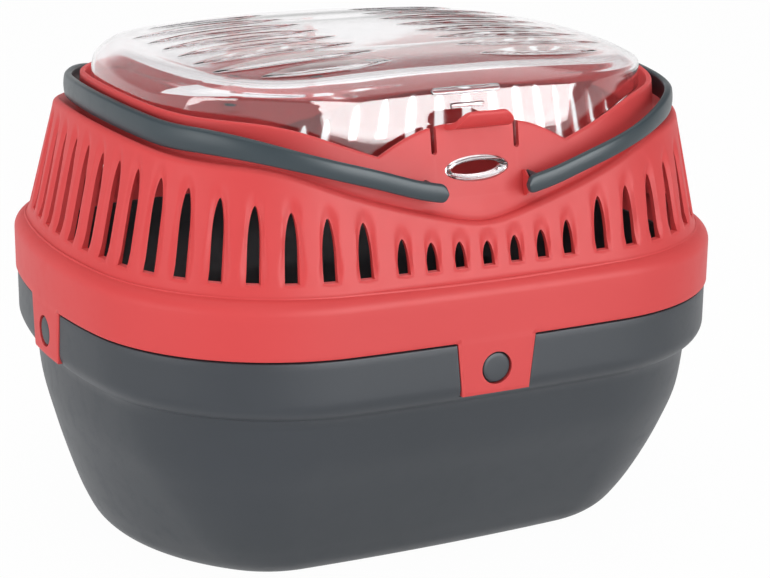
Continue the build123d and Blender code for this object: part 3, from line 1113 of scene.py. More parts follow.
@dataclass
class Tub:
    """Grey tub: rounded floor, tapered wall, stepped band, lip, tab pockets and studs.

    Each level of its wall is a height, both half sizes, the shift to the rear, the
    corner's radius and the end bow's ratio.
    """

    levels: tuple[tuple[float, ...], ...] = (
        (0.0, 110.0, 72.0, 4.0, 38.0, 1.12),
        (1.0, 115.0, 77.5, 4.0, 40.0, 1.13),
        (3.2, 119.4, 82.5, 4.0, 42.0, 1.15),
        (7.0, 123.6, 87.0, 4.0, 44.0, 1.18),
        (16.0, 128.2, 92.5, 4.0, 47.0, 1.28),
        (45.0, 137.0, 106.0, 3.0, 59.0, 1.65),
        (66.0, 141.0, 114.5, 1.5, 72.0, 2.0),
        (88.0, 142.0, 118.8, 0.0, 80.0, 2.24),
    )
    columns: int = 384
    outer_top: float = 83.6
    inner_top: float = 86.0
    least_corner: float = 8.0
    crease: float = 84.5
    band_inset: float = 0.7
    band_round: float = 9.6
    band_start: float = 68.0
    band_foot: float = 96.0
    lip_inset: float = 2.8
    lip_top: float = 121.5
    lip_wall: float = 2.2
    edge: float = 0.5
    seam: float = 0.8
    pocket_inset: float = 3.4
    pocket_reach: float = -6.0
    pocket_over: float = 1.5
    tab_top: float = 36.8
    tab_low: float = 88.6
    stud_radius: float = 6.2
    stud_inset: float = 0.3

    def around(self) -> Array:
        """Parameters of the columns, evenly spread along each arc."""
        return np.arange(self.columns) * TURN / self.columns

    def wall_rows(self, inset: float, steps: int, top: float) -> list[Array]:
        """Rows of the tapered wall from the floor up to a height.

        The inset lifts the floor by the wall's thickness and no longer does at the top.

        Args:
            inset: Distance inwards from the outer face.
            steps: Rows between two levels.
            top: Height that no row passes.

        Returns:
            The rows.
        """
        t = self.around()
        full = self.levels[-1][0]
        rows = []
        for z, a, b, shift, corner, ratio in through(np.array(self.levels), steps):
            if z > top:
                break
            ring = Oval(a - inset, b - inset, max(corner - inset, self.least_corner), shift, ratio)
            rows.append(on(ring, t, z + inset * (1.0 - z / full)))
        return rows

    @staticmethod
    def floor_rows(ring: Array, steps: int) -> list[Array]:
        """Rows from the middle of the floor out to its edge, evenly spaced."""
        middle = ring.mean(axis=0, keepdims=True)
        return [middle + (ring - middle) * share for share in np.linspace(0.0, 1.0, steps, endpoint=False)]

    def band_rows(self) -> list[Array]:
        """Rows of the band: a quarter round out of the wall, the face and a rounded edge."""
        t = self.around()
        rows = []
        for angle in np.radians(np.linspace(self.band_start, 0.0, 12)):
            inset = self.band_inset + self.band_round * (1.0 - math.cos(angle))
            z = self.crease + self.band_round * (1.0 - math.sin(angle))
            rows.append(on(PLAN.skirt(inset), t, z))
        top = PLAN.split - self.seam - self.edge
        rows += [on(PLAN.skirt(self.band_inset), t, z) for z in np.linspace(self.band_foot, top, 6)]
        for angle in np.radians((30, 60, 90)):
            inset = self.band_inset + self.edge * (1.0 - math.cos(angle))
            rows.append(on(PLAN.skirt(inset), t, top + self.edge * math.sin(angle)))
        return rows

    def rows(self) -> list[Array]:
        """The whole profile, from under the floor up the outside and down the inside."""
        t = self.around()
        outer = self.wall_rows(0.0, 8, self.outer_top)
        low = self.floor_rows(outer[0], 10)
        lip = []
        for inset, z in (
            (0.0, PLAN.split - self.seam),
            (0.0, PLAN.split + 1.0),
            (0.0, self.lip_top - 0.6),
            (0.6, self.lip_top),
            (self.lip_wall - 0.5, self.lip_top),
            (self.lip_wall, self.lip_top - 0.5),
            (self.lip_wall, PLAN.split - 4.0),
            (self.lip_wall, self.band_foot),
        ):
            lip.append(on(PLAN.skirt(self.lip_inset + inset), t, z))
        inner = self.wall_rows(PLAN.wall, 4, self.inner_top)
        inner_floor = self.floor_rows(inner[0], 8)
        return low + outer + self.band_rows() + lip + inner[::-1] + inner_floor[::-1]

    def pocket(self, index: int) -> bpy.types.Object:
        """Cutter of one tab pocket: a leaning-sided block whose inner face follows the band.

        Args:
            index: Side, from the front round by the right.

        Returns:
            The cutter.
        """
        heights = np.linspace(self.tab_low, PLAN.split + self.pocket_over, 8)
        half = self.tab_top / 2 - PLAN.tab_slope * (PLAN.split - heights)
        across = np.linspace(-1.0, 1.0, 25)
        x = PLAN.tab_shift + half[:, None] * across[None, :]
        maker = MeshMaker(f"pocket_{index}")
        borders = []
        for inset in (self.pocket_inset, self.pocket_reach):
            y = -PLAN.side_face(index, x, inset)
            face = np.stack([x, y, np.broadcast_to(heights[:, None], x.shape)], axis=-1)
            maker.grid(face, closed=False)
            borders.append(np.concatenate([face[0], face[1:, -1], face[-1, -2::-1], face[-2:0:-1, 0]]))
        maker.grid(np.stack(borders))
        piece = maker.build()
        piece.data.transform(Matrix.Rotation(math.pi / 2 * index, 4, "Z"))
        return piece

    def stud(self, index: int) -> Array:
        """Rows of one domed stud at the middle of a side.

        Args:
            index: Side, from the front round by the right.

        Returns:
            Closed rows.
        """
        out = (PLAN.half_width if index % 2 == 0 else PLAN.half_length) - self.stud_inset
        r = self.stud_radius
        radii = (r, r, r - 0.25, r - 0.8, r * 0.72, r * 0.4, r * 0.12)
        depths = (-3.8, -0.75, -0.4, -0.18, -0.07, -0.02, 0.0)
        wx, wy = PLAN.side_way(index)
        origin = (wx * out - wy * PLAN.tab_shift, wy * out + wx * PLAN.tab_shift, PLAN.stud_height)
        return turned(radii, depths, origin, (wx, wy, 0.0), 56)

    def build(self, materials: Materials) -> None:
        """Makes the tub's mesh and dresses it."""
        maker = MeshMaker("tub")
        maker.grid(np.stack(self.rows()))
        piece = maker.build()
        carve(piece, [self.pocket(index) for index in range(4)])
        studs = MeshMaker("studs")
        for index in range(4):
            studs.grid(self.stud(index))
        piece = join(piece, studs.build())
        materials.dress(piece, Finish.GREY)
        hang(piece, "tub", "base_tub")


@dataclass
class Slots:
    """Row of lancet slots round the wall and the dents that flare into them."""

    short_width: float = 5.3
    tall_width: float = 6.0
    tip: float = 16.5
    tip_most: float = 0.82
    short_pitch: float = 12.7
    short_each_side: int = 3
    first_tall: float = 54.3
    tall_per_quarter: int = 12
    foot_cells: int = 8
    flank_cells: int = 7
    arc_cells: int = 9
    arc_on_side: int = 5
    rings: int = 8
    dent: float = 1.25
    inner_swell: float = 1.0
    lean_share: float = 0.85
    lean_full: float = 56.0
    lean_none: float = 90.0
    inner_drop: float = 0.8
    heights: Points = (
        (0, 151.2),
        (26, 153.0),
        (40, 156.0),
        (54, 163.4),
        (84, 168.9),
        (110, 173.8),
        (135, 180.0),
        (143, 182.0),
    )

    def __post_init__(self) -> None:
        """Works out the slots' places along the wall's foot, and the borders between them."""
        self.foot = PLAN.slotted(PLAN.slot_foot, 0.0)
        self.marks = self.foot.marks()
        quarter = self.marks[3]
        whole = self.marks[-1]
        short = self.short_pitch * np.arange(self.short_each_side + 1)
        pitch = (quarter - self.first_tall) / (self.tall_per_quarter - 1)
        tall = self.first_tall + pitch * np.arange(self.tall_per_quarter)
        base = np.concatenate([short, tall])
        half = np.concatenate([base, 2 * quarter - base[::-1][1:]])
        self.centres = np.concatenate([half, 2 * quarter + half[1:-1]])
        ends = np.concatenate([self.centres, [self.centres[0] + whole]])
        self.after = (ends[:-1] + ends[1:]) / 2
        self.before = np.concatenate([[self.after[-1] - whole], self.after[:-1]])

    def along(self, s: Array) -> Array:
        """Parameter t at lengths along the wall's foot."""
        return np.interp(np.mod(s, self.marks[-1]), self.marks, np.arange(len(self.marks)))

    def wall(self, s: Array, z: Array, inset: Array) -> Array:
        """Points of the slotted wall, in upright lines from their foot.

        The point with the foot's own t drifts sideways as the wall leans in, so the
        length is shifted by that drift along the foot's tangent.

        Args:
            s: Length along the wall's foot.
            z: Height.
            inset: Distance inwards from the outer face.

        Returns:
            The points.
        """
        t = self.along(s)
        fx, fy, nx, ny = self.foot.at(t)
        ring = PLAN.slotted(z, inset)
        x, y, _, _ = ring.at(t)
        drift = -((x - fx) * -ny + (y - fy) * nx)
        return on(ring, self.along(s + drift), z)

    def level(self, s: Array, z: float, inset: float) -> Array:
        """Points of the slotted wall at one height."""
        return self.wall(s, np.full(s.shape, z), inset)

    def crest(self, s: Array) -> Array:
        """Height of the ledge above the wall: the wave's height at the wall's own x."""
        z = np.full(np.shape(s), 165.0)
        for _ in range(8):
            z = PLAN.ledge_wave(self.wall(s, z, 0.0)[..., 0])
        return z

    def columns(self) -> Array:
        """Lengths of all the columns along the foot, in order round the carrier."""
        share = np.arange(self.foot_cells) / self.foot_cells
        return (self.before[:, None] + (self.after - self.before)[:, None] * share[None, :]).ravel()

    def outline(self, height: float, half: float) -> tuple[Array, Array, Array]:
        """Lancet outline: flat foot, straight flanks and arched tip, anticlockwise.

        Towards the tip the half width is one less a power of the way up, raised to a
        power under one, which keeps the very tip blunt.

        Args:
            height: Height of the slot.
            half: Half its width at the foot.

        Returns:
            Places across, heights above the foot and how wide the dent is at each point.
        """
        tip = min(self.tip, height * self.tip_most)
        flank = height - tip
        foot_x = np.linspace(-half, half, self.foot_cells, endpoint=False)
        up = np.linspace(0.0, 1.0, self.flank_cells, endpoint=False)
        down = (1.0 - np.arange(self.arc_cells + 1) / self.arc_cells) ** 1.5
        arch = half * (1.0 - (1.0 - down) ** 2.2) ** 0.62
        right_x = np.concatenate([np.full(self.flank_cells, half), arch])
        right_z = np.concatenate([flank * up, height - tip * down])
        x = np.concatenate([foot_x, right_x, -right_x[::-1][1:-1]])
        z = np.concatenate([0.0 * foot_x, right_z, right_z[::-1][1:-1]])
        reach = 1.6 + 2.0 * smooth_step(z, 0.0, 5.0) + 3.6 * smooth_step(z, flank + 0.35 * tip, height)
        return x, z, reach

    def lean(self, centre: float) -> float:
        """How far a slot's inner hole sits aside, so that its sides point partly to front or rear.

        The sides turn by a share of the wall's own angle from the front or rear, and
        that share falls away towards the ends.

        Args:
            centre: Length along the wall's foot to the slot's middle.

        Returns:
            Shift of the inner hole along the wall.
        """
        _, _, nx, ny = self.foot.at(self.along(np.array(centre)))
        angle = float(np.arctan2(nx * -np.sign(ny), np.abs(ny)))
        limits = (math.radians(self.lean_full), math.radians(self.lean_none))
        fall = 1.0 - float(smooth_step(abs(angle), *limits))
        depth = PLAN.wall + self.inner_swell - self.dent
        return depth * math.tan(self.lean_share * fall * angle)

    def border(self, index: int, low: float, drop: float) -> Array:
        """Border of one slot's cell, anticlockwise from its left foot, as lengths and heights.

        Args:
            index: Number of the slot.
            low: Height of the border's foot.
            drop: Distance of the border's top below the ledge.

        Returns:
            One length and one height per point.
        """
        before, after = self.before[index], self.after[index]
        side = self.flank_cells + self.arc_on_side
        top = 2 * (self.arc_cells - self.arc_on_side)
        crest_before, crest_after = self.crest(np.array([before, after])) - drop
        share = np.arange(side) / side
        foot_s = before + (after - before) * np.arange(self.foot_cells) / self.foot_cells
        top_s = after + (before - after) * np.arange(top) / top
        runs = (
            (foot_s, np.full(len(foot_s), low)),
            (np.full(side, after), low + (crest_after - low) * share),
            (top_s, self.crest(top_s) - drop),
            (np.full(side, before), low + (crest_before - low) * (1.0 - share)),
        )
        return np.concatenate([np.stack(run, axis=-1) for run in runs])

    def cell(self, index: int, maker: MeshMaker, low: float, crest_round: float) -> None:
        """Adds one slot's cell: dented ring outside, reveal and plain ring inside.

        Args:
            index: Number of the slot.
            maker: Where the cell goes.
            low: Height of the cell's foot.
            crest_round: Distance of its top below the ledge, outside.
        """
        centre = self.centres[index]
        x_foot = abs(float(self.wall(np.array([centre]), np.array([PLAN.slot_foot]), 0.0)[0, 0]))
        marks = np.array(self.heights)
        height = float(np.interp(x_foot, marks[:, 0], marks[:, 1])) - PLAN.slot_foot
        width = self.short_width if x_foot < self.first_tall - 3.0 else self.tall_width
        across, up, reach = self.outline(height, width / 2)
        hole = np.stack([centre + across, PLAN.slot_foot + up], axis=-1)
        border = self.border(index, low, crest_round)
        share = (np.arange(self.rings + 1) / self.rings)[:, None] ** 1.35
        plane = hole[None] + (border - hole)[None] * share[..., None]
        away = np.linalg.norm(plane - hole[None], axis=-1)
        depth = self.dent * (0.35 + 0.65 * smooth_step(up, 0.0, 5.0))
        sunk = depth[None] * (1.0 - smooth_step(away / reach[None], 0.0, 1.0))
        sunk = sunk * (1.0 - smooth_step(share, 0.9, 1.0))
        outer = self.wall(plane[..., 0], plane[..., 1], sunk)
        maker.grid(outer)
        aside = hole[:, 0] + self.lean(centre)
        inner_hole = self.wall(aside, hole[:, 1], PLAN.wall + self.inner_swell)
        maker.grid(np.stack([outer[0], inner_hole]))
        inner_border = self.border(index, low, PLAN.wall + self.inner_drop)
        inner_wall = self.wall(inner_border[:, 0], inner_border[:, 1], PLAN.wall)
        maker.grid(np.stack([inner_hole, inner_wall]))


@dataclass
class Cover:
    """Coral cover: skirt, slotted wall, handle ledge, apron and rim, with its latch and tabs."""

    slots: Slots = field(default_factory=Slots)
    skirt_round: float = 6.4
    skirt_edge: float = 0.6
    crease: float = 137.3
    cell_foot: float = 139.2
    crest_round: float = 2.0
    apron_fillet: float = 3.2
    apron_blend: float = 4.0
    rim_round: float = 0.8
    front_limits: tuple[float, float] = (-125.0, -90.0)
    above: float = 215.0
    tongue_half: float = 18.9
    slit_width: float = 2.6
    slit_foot: float = 187.0
    oval_half: float = 14.6
    oval_rise: float = 5.2
    bend_y: float = -110.0
    latch_bend: float = 9.0
    tab_top: float = 36.0
    tab_drop: float = 23.0
    tab_bend: float = 6.0
    tab_soft: float = 0.5
    stud_hole: float = 6.9
    pin_hole: float = 1.38
    ear_radius: float = 4.6
    lip_foot: float = -105.2
    lip_half: float = 12.5
    lip_flare: float = 0.9
    lip_thickness: float = 2.3
    lip_crest: float = 1.4
    lip_corner: float = 6.6
    lip_curve: Points = (
        (-1.2, 196.2),
        (3.0, 196.8),
        (6.4, 197.8),
        (9.2, 199.6),
        (10.8, 201.9),
        (11.3, 204.1),
    )
    bulge: float = 2.0
    bead: float = 1.5
    bead_curve: Points = ((0.08, 0.16), (0.16, 0.26), (0.26, 0.24), (0.36, 0.1), (0.5, 0.0), (0.72, 0.0))
    fin_x: float = 20.8
    fin_thickness: float = 0.7
    fin_z: float = 171.5
    fin_out: float = -113.9

    def bulged(self, points: Array) -> Array:
        """Apron points with the swell below the latch added.

        The swell is full in the middle and falls to nothing beside the handles' tips and
        above the oval, by two smooth ramps.

        Args:
            points: Points of the apron.

        Returns:
            The moved points.
        """
        x, y, z = points[..., 0], points[..., 1], points[..., 2]
        across = 1.0 - smooth_step(np.abs(x), 4.0, 30.0)
        rise = 1.0 - smooth_step(z, PLAN.apron_foot, 178.0)
        front = (y < -80.0).astype(float)
        moved = points.copy()
        moved[..., 1] = y - self.bulge * across * rise * front
        return moved

    def apron_columns(self, t: Array) -> Array:
        """Column parameters for the apron, with the nearest ones set on the rim's notches."""
        snapped = np.mod(t, TURN)
        for sign in (1.0, -1.0):
            for front in (True, False):
                key = self.notch_place(PLAN.notch_x * sign, front)
                gap = np.abs((snapped - key + TURN / 2) % TURN - TURN / 2)
                snapped[int(np.argmin(gap))] = key
        return snapped

    @staticmethod
    def notch_place(x: float, front: bool) -> float:
        """Parameter of the apron's outline where it has a given x at the notch's height.

        Args:
            x: Place along the length.
            front: Whether the front is meant, and not the rear.

        Returns:
            The parameter.
        """
        t = np.linspace(0.0, TURN, 4801)[:-1]
        px, py, _, _ = PLAN.apron(PLAN.notch_z, 0.0).at(t)
        wrong_side = (py < 0) != front
        return float(t[int(np.argmin(np.abs(px - x) + 1000.0 * wrong_side))])

    def outer_low(self, s: Array, t: Array) -> list[Array]:
        """Rows of the skirt from its foot up over the shoulder to the slotted wall.

        The foot's edge is rounded except at the tabs. The shoulder is an arc that stops
        where the room to the wall ends, and a low bead follows it.

        Args:
            s: Lengths of the columns along the wall's foot.
            t: Their parameters.

        Returns:
            The rows.
        """
        soft = self.skirt_edge * (1.0 - self.tab_mask(t))
        rows = []
        for angle in np.radians((90, 60, 30, 0)):
            inset = soft * (1.0 - math.cos(angle)) + 0.01
            rows.append(on(PLAN.skirt(inset), t, PLAN.split + soft * (1.0 - math.sin(angle))))
        shoulder = PLAN.ledge - self.skirt_round
        rows += [on(PLAN.skirt(0.0), t, z) for z in np.linspace(PLAN.split + 2.0, shoulder, 8)]
        meeting = PLAN.ledge - 0.3
        wall = self.slots.level(s, meeting, 0.0)
        full = on(PLAN.skirt(0.0), t, meeting)
        room = np.linalg.norm((wall - full)[:, :2], axis=1)
        stop = np.arccos(1.0 - np.clip((room - 1.6) / self.skirt_round, 0.05, 0.9))
        for share in np.linspace(0.0, 1.0, 10)[1:]:
            angle = stop * share
            inset = self.skirt_round * (1.0 - np.cos(angle))
            rows.append(on(PLAN.skirt(inset), t, shoulder + self.skirt_round * np.sin(angle)))
        last = self.slots.level(s, self.cell_foot, 0.0)
        foot = self.slots.level(s, self.crease, 0.0)
        edge = rows[-1]
        for share, lift in self.bead_curve:
            row = edge + (foot - edge) * share
            row[:, 2] += lift * self.bead
            rows.append(row)
        return rows + bezier(rows[-1], foot, last, 3)

    def tab_mask(self, t: Array) -> Array:
        """1 at the columns where the skirt runs on into a clip tab, else 0."""
        x, y, _, _ = PLAN.skirt(0.0).at(t)
        half = self.tab_top / 2 + 0.2
        front = (np.abs(x - np.sign(-y) * PLAN.tab_shift) < half) & (np.abs(y) > 110.0)
        side = (np.abs(y - np.sign(x) * PLAN.tab_shift) < half) & (np.abs(x) > 135.0)
        return (front | side).astype(float)

    def ledge_rows(self, s: Array, z_top: Array) -> list[Array]:
        """Rows over the wall's rounded crest.

        Args:
            s: Lengths of the columns along the wall's foot.
            z_top: Height of the ledge at each.

        Returns:
            The rows.
        """
        base = z_top - self.crest_round
        rows = []
        for angle in np.radians((0, 18, 36, 54, 72, 90)):
            inset = self.crest_round * (1.0 - math.cos(angle))
            rows.append(self.slots.wall(s, base + self.crest_round * math.sin(angle), inset))
        return rows

    def upper(self, s: Array) -> list[Array]:
        """Rows from the wall's crest over the ledge, up the apron, over the rim and down inside.

        Args:
            s: Lengths of the columns along the wall's foot.

        Returns:
            The rows.
        """
        z_top = self.slots.crest(s)
        rows = self.ledge_rows(s, z_top)
        inner = rows[-1]
        t = self.apron_columns(self.slots.along(s))
        foot_z = self.solve(t, PLAN.ledge_wave)
        foot = self.bulged(on(PLAN.apron(foot_z, 0.0), t, foot_z))
        start = inner + (foot - inner) * 0.62
        start[:, 2] = PLAN.ledge_wave(start[:, 0])
        for share in (0.35, 0.7, 1.0):
            row = inner + (start - inner) * share
            row[:, 2] = PLAN.ledge_wave(row[:, 0])
            rows.append(row)
        middle = 1.0 - smooth_step(np.abs(foot[:, 0]), 18.0, 52.0)
        lift = foot_z + self.apron_fillet + self.apron_blend * middle * (foot[:, 1] < 0)
        end = self.bulged(on(PLAN.apron(lift, 0.0), t, lift))
        rows += bezier(start, foot, end, 4)
        high = self.solve(t, PLAN.rim) - self.rim_round
        for share in np.linspace(0.0, 1.0, 15)[1:]:
            z = lift + (high - lift) * share
            rows.append(self.bulged(on(PLAN.apron(z, 0.0), t, z)))
        for inset, rise in self.rim_turn():
            z = high + rise
            rows.append(on(PLAN.apron(z, inset), t, z))
        under = foot_z - PLAN.wall
        for share in np.linspace(0.0, 1.0, 9)[1:]:
            z = high + (under - high) * share
            rows.append(on(PLAN.apron(z, PLAN.apron_wall), t, z))
        drop = self.slots.inner_drop
        wall_inside = self.slots.wall(s, z_top - PLAN.wall - drop, PLAN.wall)
        corner = wall_inside.copy()
        corner[:, 2] += drop
        for share in (0.3, 0.65):
            rows.append(rows[-1] * (1.0 - share) + corner * share)
        return rows + [corner, wall_inside]

    def rim_turn(self) -> Points:
        """Insets and rises over the rim, a quarter round outside and one inside."""
        turn = []
        for angle in np.radians((30, 60, 90)):
            turn.append((self.rim_round * (1.0 - math.cos(angle)), self.rim_round * math.sin(angle)))
        inward = [(PLAN.apron_wall - inset, rise) for inset, rise in turn[::-1]]
        return (*turn, *inward, (PLAN.apron_wall, 0.0))

    @staticmethod
    def solve(t: Array, height: Callable[[Array], Array]) -> Array:
        """Heights where the apron's own x gives the height of a wavy edge.

        Args:
            t: Parameters round the apron.
            height: The edge's height over x.

        Returns:
            The heights.
        """
        z = np.full(t.shape, 185.0)
        for _ in range(10):
            x, _, _, _ = PLAN.apron(z, 0.0).at(t)
            z = height(x)
        return z

    def inner_low(self, s: Array, t: Array) -> list[Array]:
        """Rows inside, from the slots' cells down to the skirt's foot."""
        rows = [self.slots.level(s, z, PLAN.wall) for z in (self.cell_foot, 136.4)]
        for more, z in ((2.2, 134.0), (0.7, 131.4), (0.0, 128.0), (0.0, 120.0), (0.0, PLAN.split)):
            rows.append(on(PLAN.skirt(PLAN.wall + more), t, z))
        return rows

    def shell(self) -> bpy.types.Object:
        """The cover's closed shell with its slots, before the latch is cut free."""
        maker = MeshMaker("cover")
        s = self.slots.columns()
        t = self.slots.along(s)
        inside = self.inner_low(s, t)
        maker.grid(np.stack([inside[-1], *self.outer_low(s, t)]))
        maker.grid(np.stack(self.upper(s)))
        maker.grid(np.stack(inside))
        for index in range(len(self.slots.centres)):
            self.slots.cell(index, maker, self.cell_foot, self.crest_round)
        return maker.build(weld=0.02)

    def ears(self) -> bpy.types.Object:
        """The two ears on the rear apron that hold the lid's hinge pin."""
        maker = MeshMaker("ears")
        r = self.ear_radius
        thick = PLAN.ear_thickness
        near, far = 95.0, PLAN.lid_hinge_y + 3.6
        for side in (-1.0, 1.0):
            origin = (side * PLAN.ear_inner, PLAN.lid_hinge_y, PLAN.lid_hinge_z)
            places = (0.0, 0.5, thick - 0.5, thick)
            maker.grid(turned((r - 0.5, r, r, r - 0.5), places, origin, (side, 0, 0), 40))
            x0, x1 = sorted((origin[0], origin[0] + side * thick))
            xs = np.array([x0, x1, x1, x0])
            rows = []
            for z, back in ((187.0, 1.0), (194.0, 0.0), (PLAN.lid_hinge_z, 0.0)):
                ys = np.array([near, near, far, far]) - back
                rows.append(np.stack([xs, ys, np.full(4, z)], axis=-1))
            maker.grid(close_ends(rows))
        return maker.build()

    def fins(self) -> bpy.types.Object:
        """The two thin fins that stand out from the apron beside the handles' tips."""
        maker = MeshMaker("fins")
        lift = np.array([-5.1, -3.1, 0.5, 3.1, 5.1])
        out = self.fin_out + np.array([2.0, 0.0, 0.0, 0.6, 3.0])
        for side, share in ((-1.0, 0.55), (1.0, 1.0)):
            z = self.fin_z + lift * share
            x0 = side * self.fin_x
            x1 = side * (self.fin_x + self.fin_thickness)
            back = PLAN.apron_front(np.full(z.shape, x0), z, 1.0)
            rows = []
            for b, o, h in zip(back, out, z):
                rows.append(np.array([[x0, b, h], [x0, o, h], [x1, o, h], [x1, b, h]]))
            maker.grid(close_ends(rows))
        return maker.build()

    def slit_end(self, side: float) -> bpy.types.Object:
        """Round cutter at a slit's lower end."""
        radius = self.slit_width / 2 - 0.01
        origin = (side * self.tongue_half, 0.0, self.slit_foot + 0.02)
        places = (self.front_limits[0] - 1.0, self.front_limits[1] + 1.0)
        return solid("slit_end", turned((radius, radius), places, origin, (0, 1, 0), 32))

    def cover_piece(self, materials: Materials) -> None:
        """Makes the cover: its shell with the tongue's gap, the slits and the pin bores cut."""
        piece = self.shell()
        half = self.tongue_half
        w = self.slit_width / 2
        gap = block_rows((-half, half), self.front_limits, (PLAN.hinge_line, self.above))
        cutters = [solid("gap", gap)]
        for side in (-1.0, 1.0):
            x = side * half
            slit = block_rows((x - w, x + w), self.front_limits, (self.slit_foot, self.above))
            pivot = (side * PLAN.pivot_x, 0.0, PLAN.pivot_z)
            bore = turned((self.pin_hole, self.pin_hole), (-130.0, 130.0), pivot, (0, 1, 0), 32)
            cutters += [solid("slit", slit), self.slit_end(side), solid("bore", bore)]
        carve(piece, cutters)
        piece = join(piece, self.ears())
        piece = join(piece, self.fins())
        materials.dress(piece, Finish.RED)
        hang(piece, "cover", "top_cover")

    def tongue_rows(self) -> Array:
        """Rows round the tongue's panel: up its face, over the crest and down its back."""
        x = np.linspace(-self.tongue_half, self.tongue_half, 49)
        top = PLAN.apron_wave(x) - self.rim_round
        share = np.linspace(0.0, 1.0, 42)[:, None]
        z = PLAN.hinge_line + (top[None] - PLAN.hinge_line) * share
        outer, inner = (
            np.stack([np.broadcast_to(x, z.shape), PLAN.apron_front(x[None], z, inset), z], axis=-1)
            for inset in (0.0, PLAN.apron_wall)
        )
        crest = []
        for inset, rise in self.rim_turn()[:-1]:
            crest.append(np.stack([x, PLAN.apron_front(x, top + rise, inset), top + rise], axis=-1))
        return np.concatenate([self.bulged(outer), np.stack(crest), inner[::-1]])

    def tongue(self, materials: Materials) -> None:
        """Makes the latch tongue: a panel of the apron with a finger lip and an oval hole."""
        maker = MeshMaker("latch")
        maker.wrap(self.tongue_rows())
        piece = maker.build()
        cutters = []
        for side in (-1.0, 1.0):
            limits = sorted((side * (self.tongue_half - self.slit_width / 2), side * 30.0))
            slit = block_rows(tuple(limits), self.front_limits, (self.slit_foot, self.above))
            cutters += [solid("slit", slit), self.slit_end(side)]
        profile = [(self.oval_half, self.oval_rise, y) for y in (self.front_limits[0], -95.0)]
        cutters.append(solid("oval", close_ends(ellipses(profile, PLAN.oval_centre, 72))))
        carve(piece, cutters)
        piece = join(piece, self.lip())
        materials.dress(piece, Finish.RED)
        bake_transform(piece)
        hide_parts("latch_tongue")
        log.info("%s bends from cover to latch", piece.name)

    def lip(self) -> bpy.types.Object:
        """Finger lip: a slab that leaves the tongue's crest forwards and curls upwards.

        A curve through a few places gives its middle, half the thickness is laid off
        to both sides, and thickness and width both round off at the crest.
        """
        middle = through(np.array(self.lip_curve), 6)
        way = np.gradient(middle, axis=0)
        way = way / np.linalg.norm(way, axis=1, keepdims=True)
        aside = np.stack([-way[:, 1], way[:, 0]], axis=1)
        run = np.concatenate([[0.0], np.cumsum(np.linalg.norm(np.diff(middle, axis=0), axis=1))])
        left = run[-1] - run
        to_crest = np.clip(left / self.lip_crest, 0.0, 1.0)
        thick = self.lip_thickness / 2 * np.sqrt(np.clip(1.0 - (1.0 - to_crest) ** 2, 0.02, 1.0))
        to_corner = np.clip(left / self.lip_corner, 0.0, 1.0)
        round_off = 1.0 - np.sqrt(np.clip(1.0 - (1.0 - to_corner) ** 2, 0.0, 1.0))
        half = self.lip_half + self.lip_flare * (left / run[-1]) ** 2 - self.lip_corner * round_off
        x = half[:, None] * np.linspace(-1.0, 1.0, 33)[None]
        rows = []
        for side in (-1.0, 1.0):
            profile = middle + aside * (thick * side)[:, None]
            y = np.broadcast_to((self.lip_foot - profile[:, 0])[:, None], x.shape)
            z = np.broadcast_to(profile[:, 1][:, None], x.shape)
            rows.append(np.stack([x, y, z], axis=-1))
        under, over = rows
        maker = MeshMaker("lip")
        maker.wrap(np.concatenate([under, over[::-1]]))
        return maker.build(sharp=50.0)

    def tab(self, index: int, materials: Materials) -> None:
        """Makes one clip tab: a panel that runs on from the skirt, with its stud hole.

        Args:
            index: Side, from the front round by the right.
            materials: The finishes.
        """
        side = ("front", "right", "rear", "left")[index]
        z = np.linspace(PLAN.split - self.tab_drop, PLAN.split, 24)
        half = self.tab_top / 2 - PLAN.tab_slope * (PLAN.split - z)
        across = np.linspace(-1.0, 1.0, 37)
        x = PLAN.tab_shift + half[:, None] * across[None]
        outer, inner = (
            np.stack([x, -PLAN.side_face(index, x, inset), np.broadcast_to(z[:, None], x.shape)], axis=-1)
            for inset in (0.01, PLAN.wall)
        )
        soft = self.tab_soft
        edge_x = np.clip((np.abs(across) * half[:, None] - half[:, None] + soft) / soft, 0.0, 1.0)
        edge_z = np.clip((PLAN.split - self.tab_drop + soft - z) / soft, 0.0, 1.0)[:, None]
        outer[..., 1] += 0.35 * np.maximum(edge_x, edge_z) ** 2
        maker = MeshMaker(f"clip_{side}_tab")
        maker.wrap(np.concatenate([outer, inner[::-1]]))
        piece = maker.build()
        place = (PLAN.tab_shift, 0.0, PLAN.stud_height)
        hole = turned((self.stud_hole, self.stud_hole), (-160.0, -90.0), place, (0, 1, 0), 56)
        carve(piece, [solid("hole", hole)])
        piece.data.transform(Matrix.Rotation(math.pi / 2 * index, 4, "Z"))
        materials.dress(piece, Finish.RED)
        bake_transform(piece)
        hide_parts(f"{side}_tab")
        log.info("%s bends from cover to tab_%s", piece.name, side)

    def build(self, materials: Materials) -> None:
        """Makes the cover, its latch tongue and its four clip tabs."""
        self.cover_piece(materials)
        self.tongue(materials)
        for index in range(4):
            self.tab(index, materials)


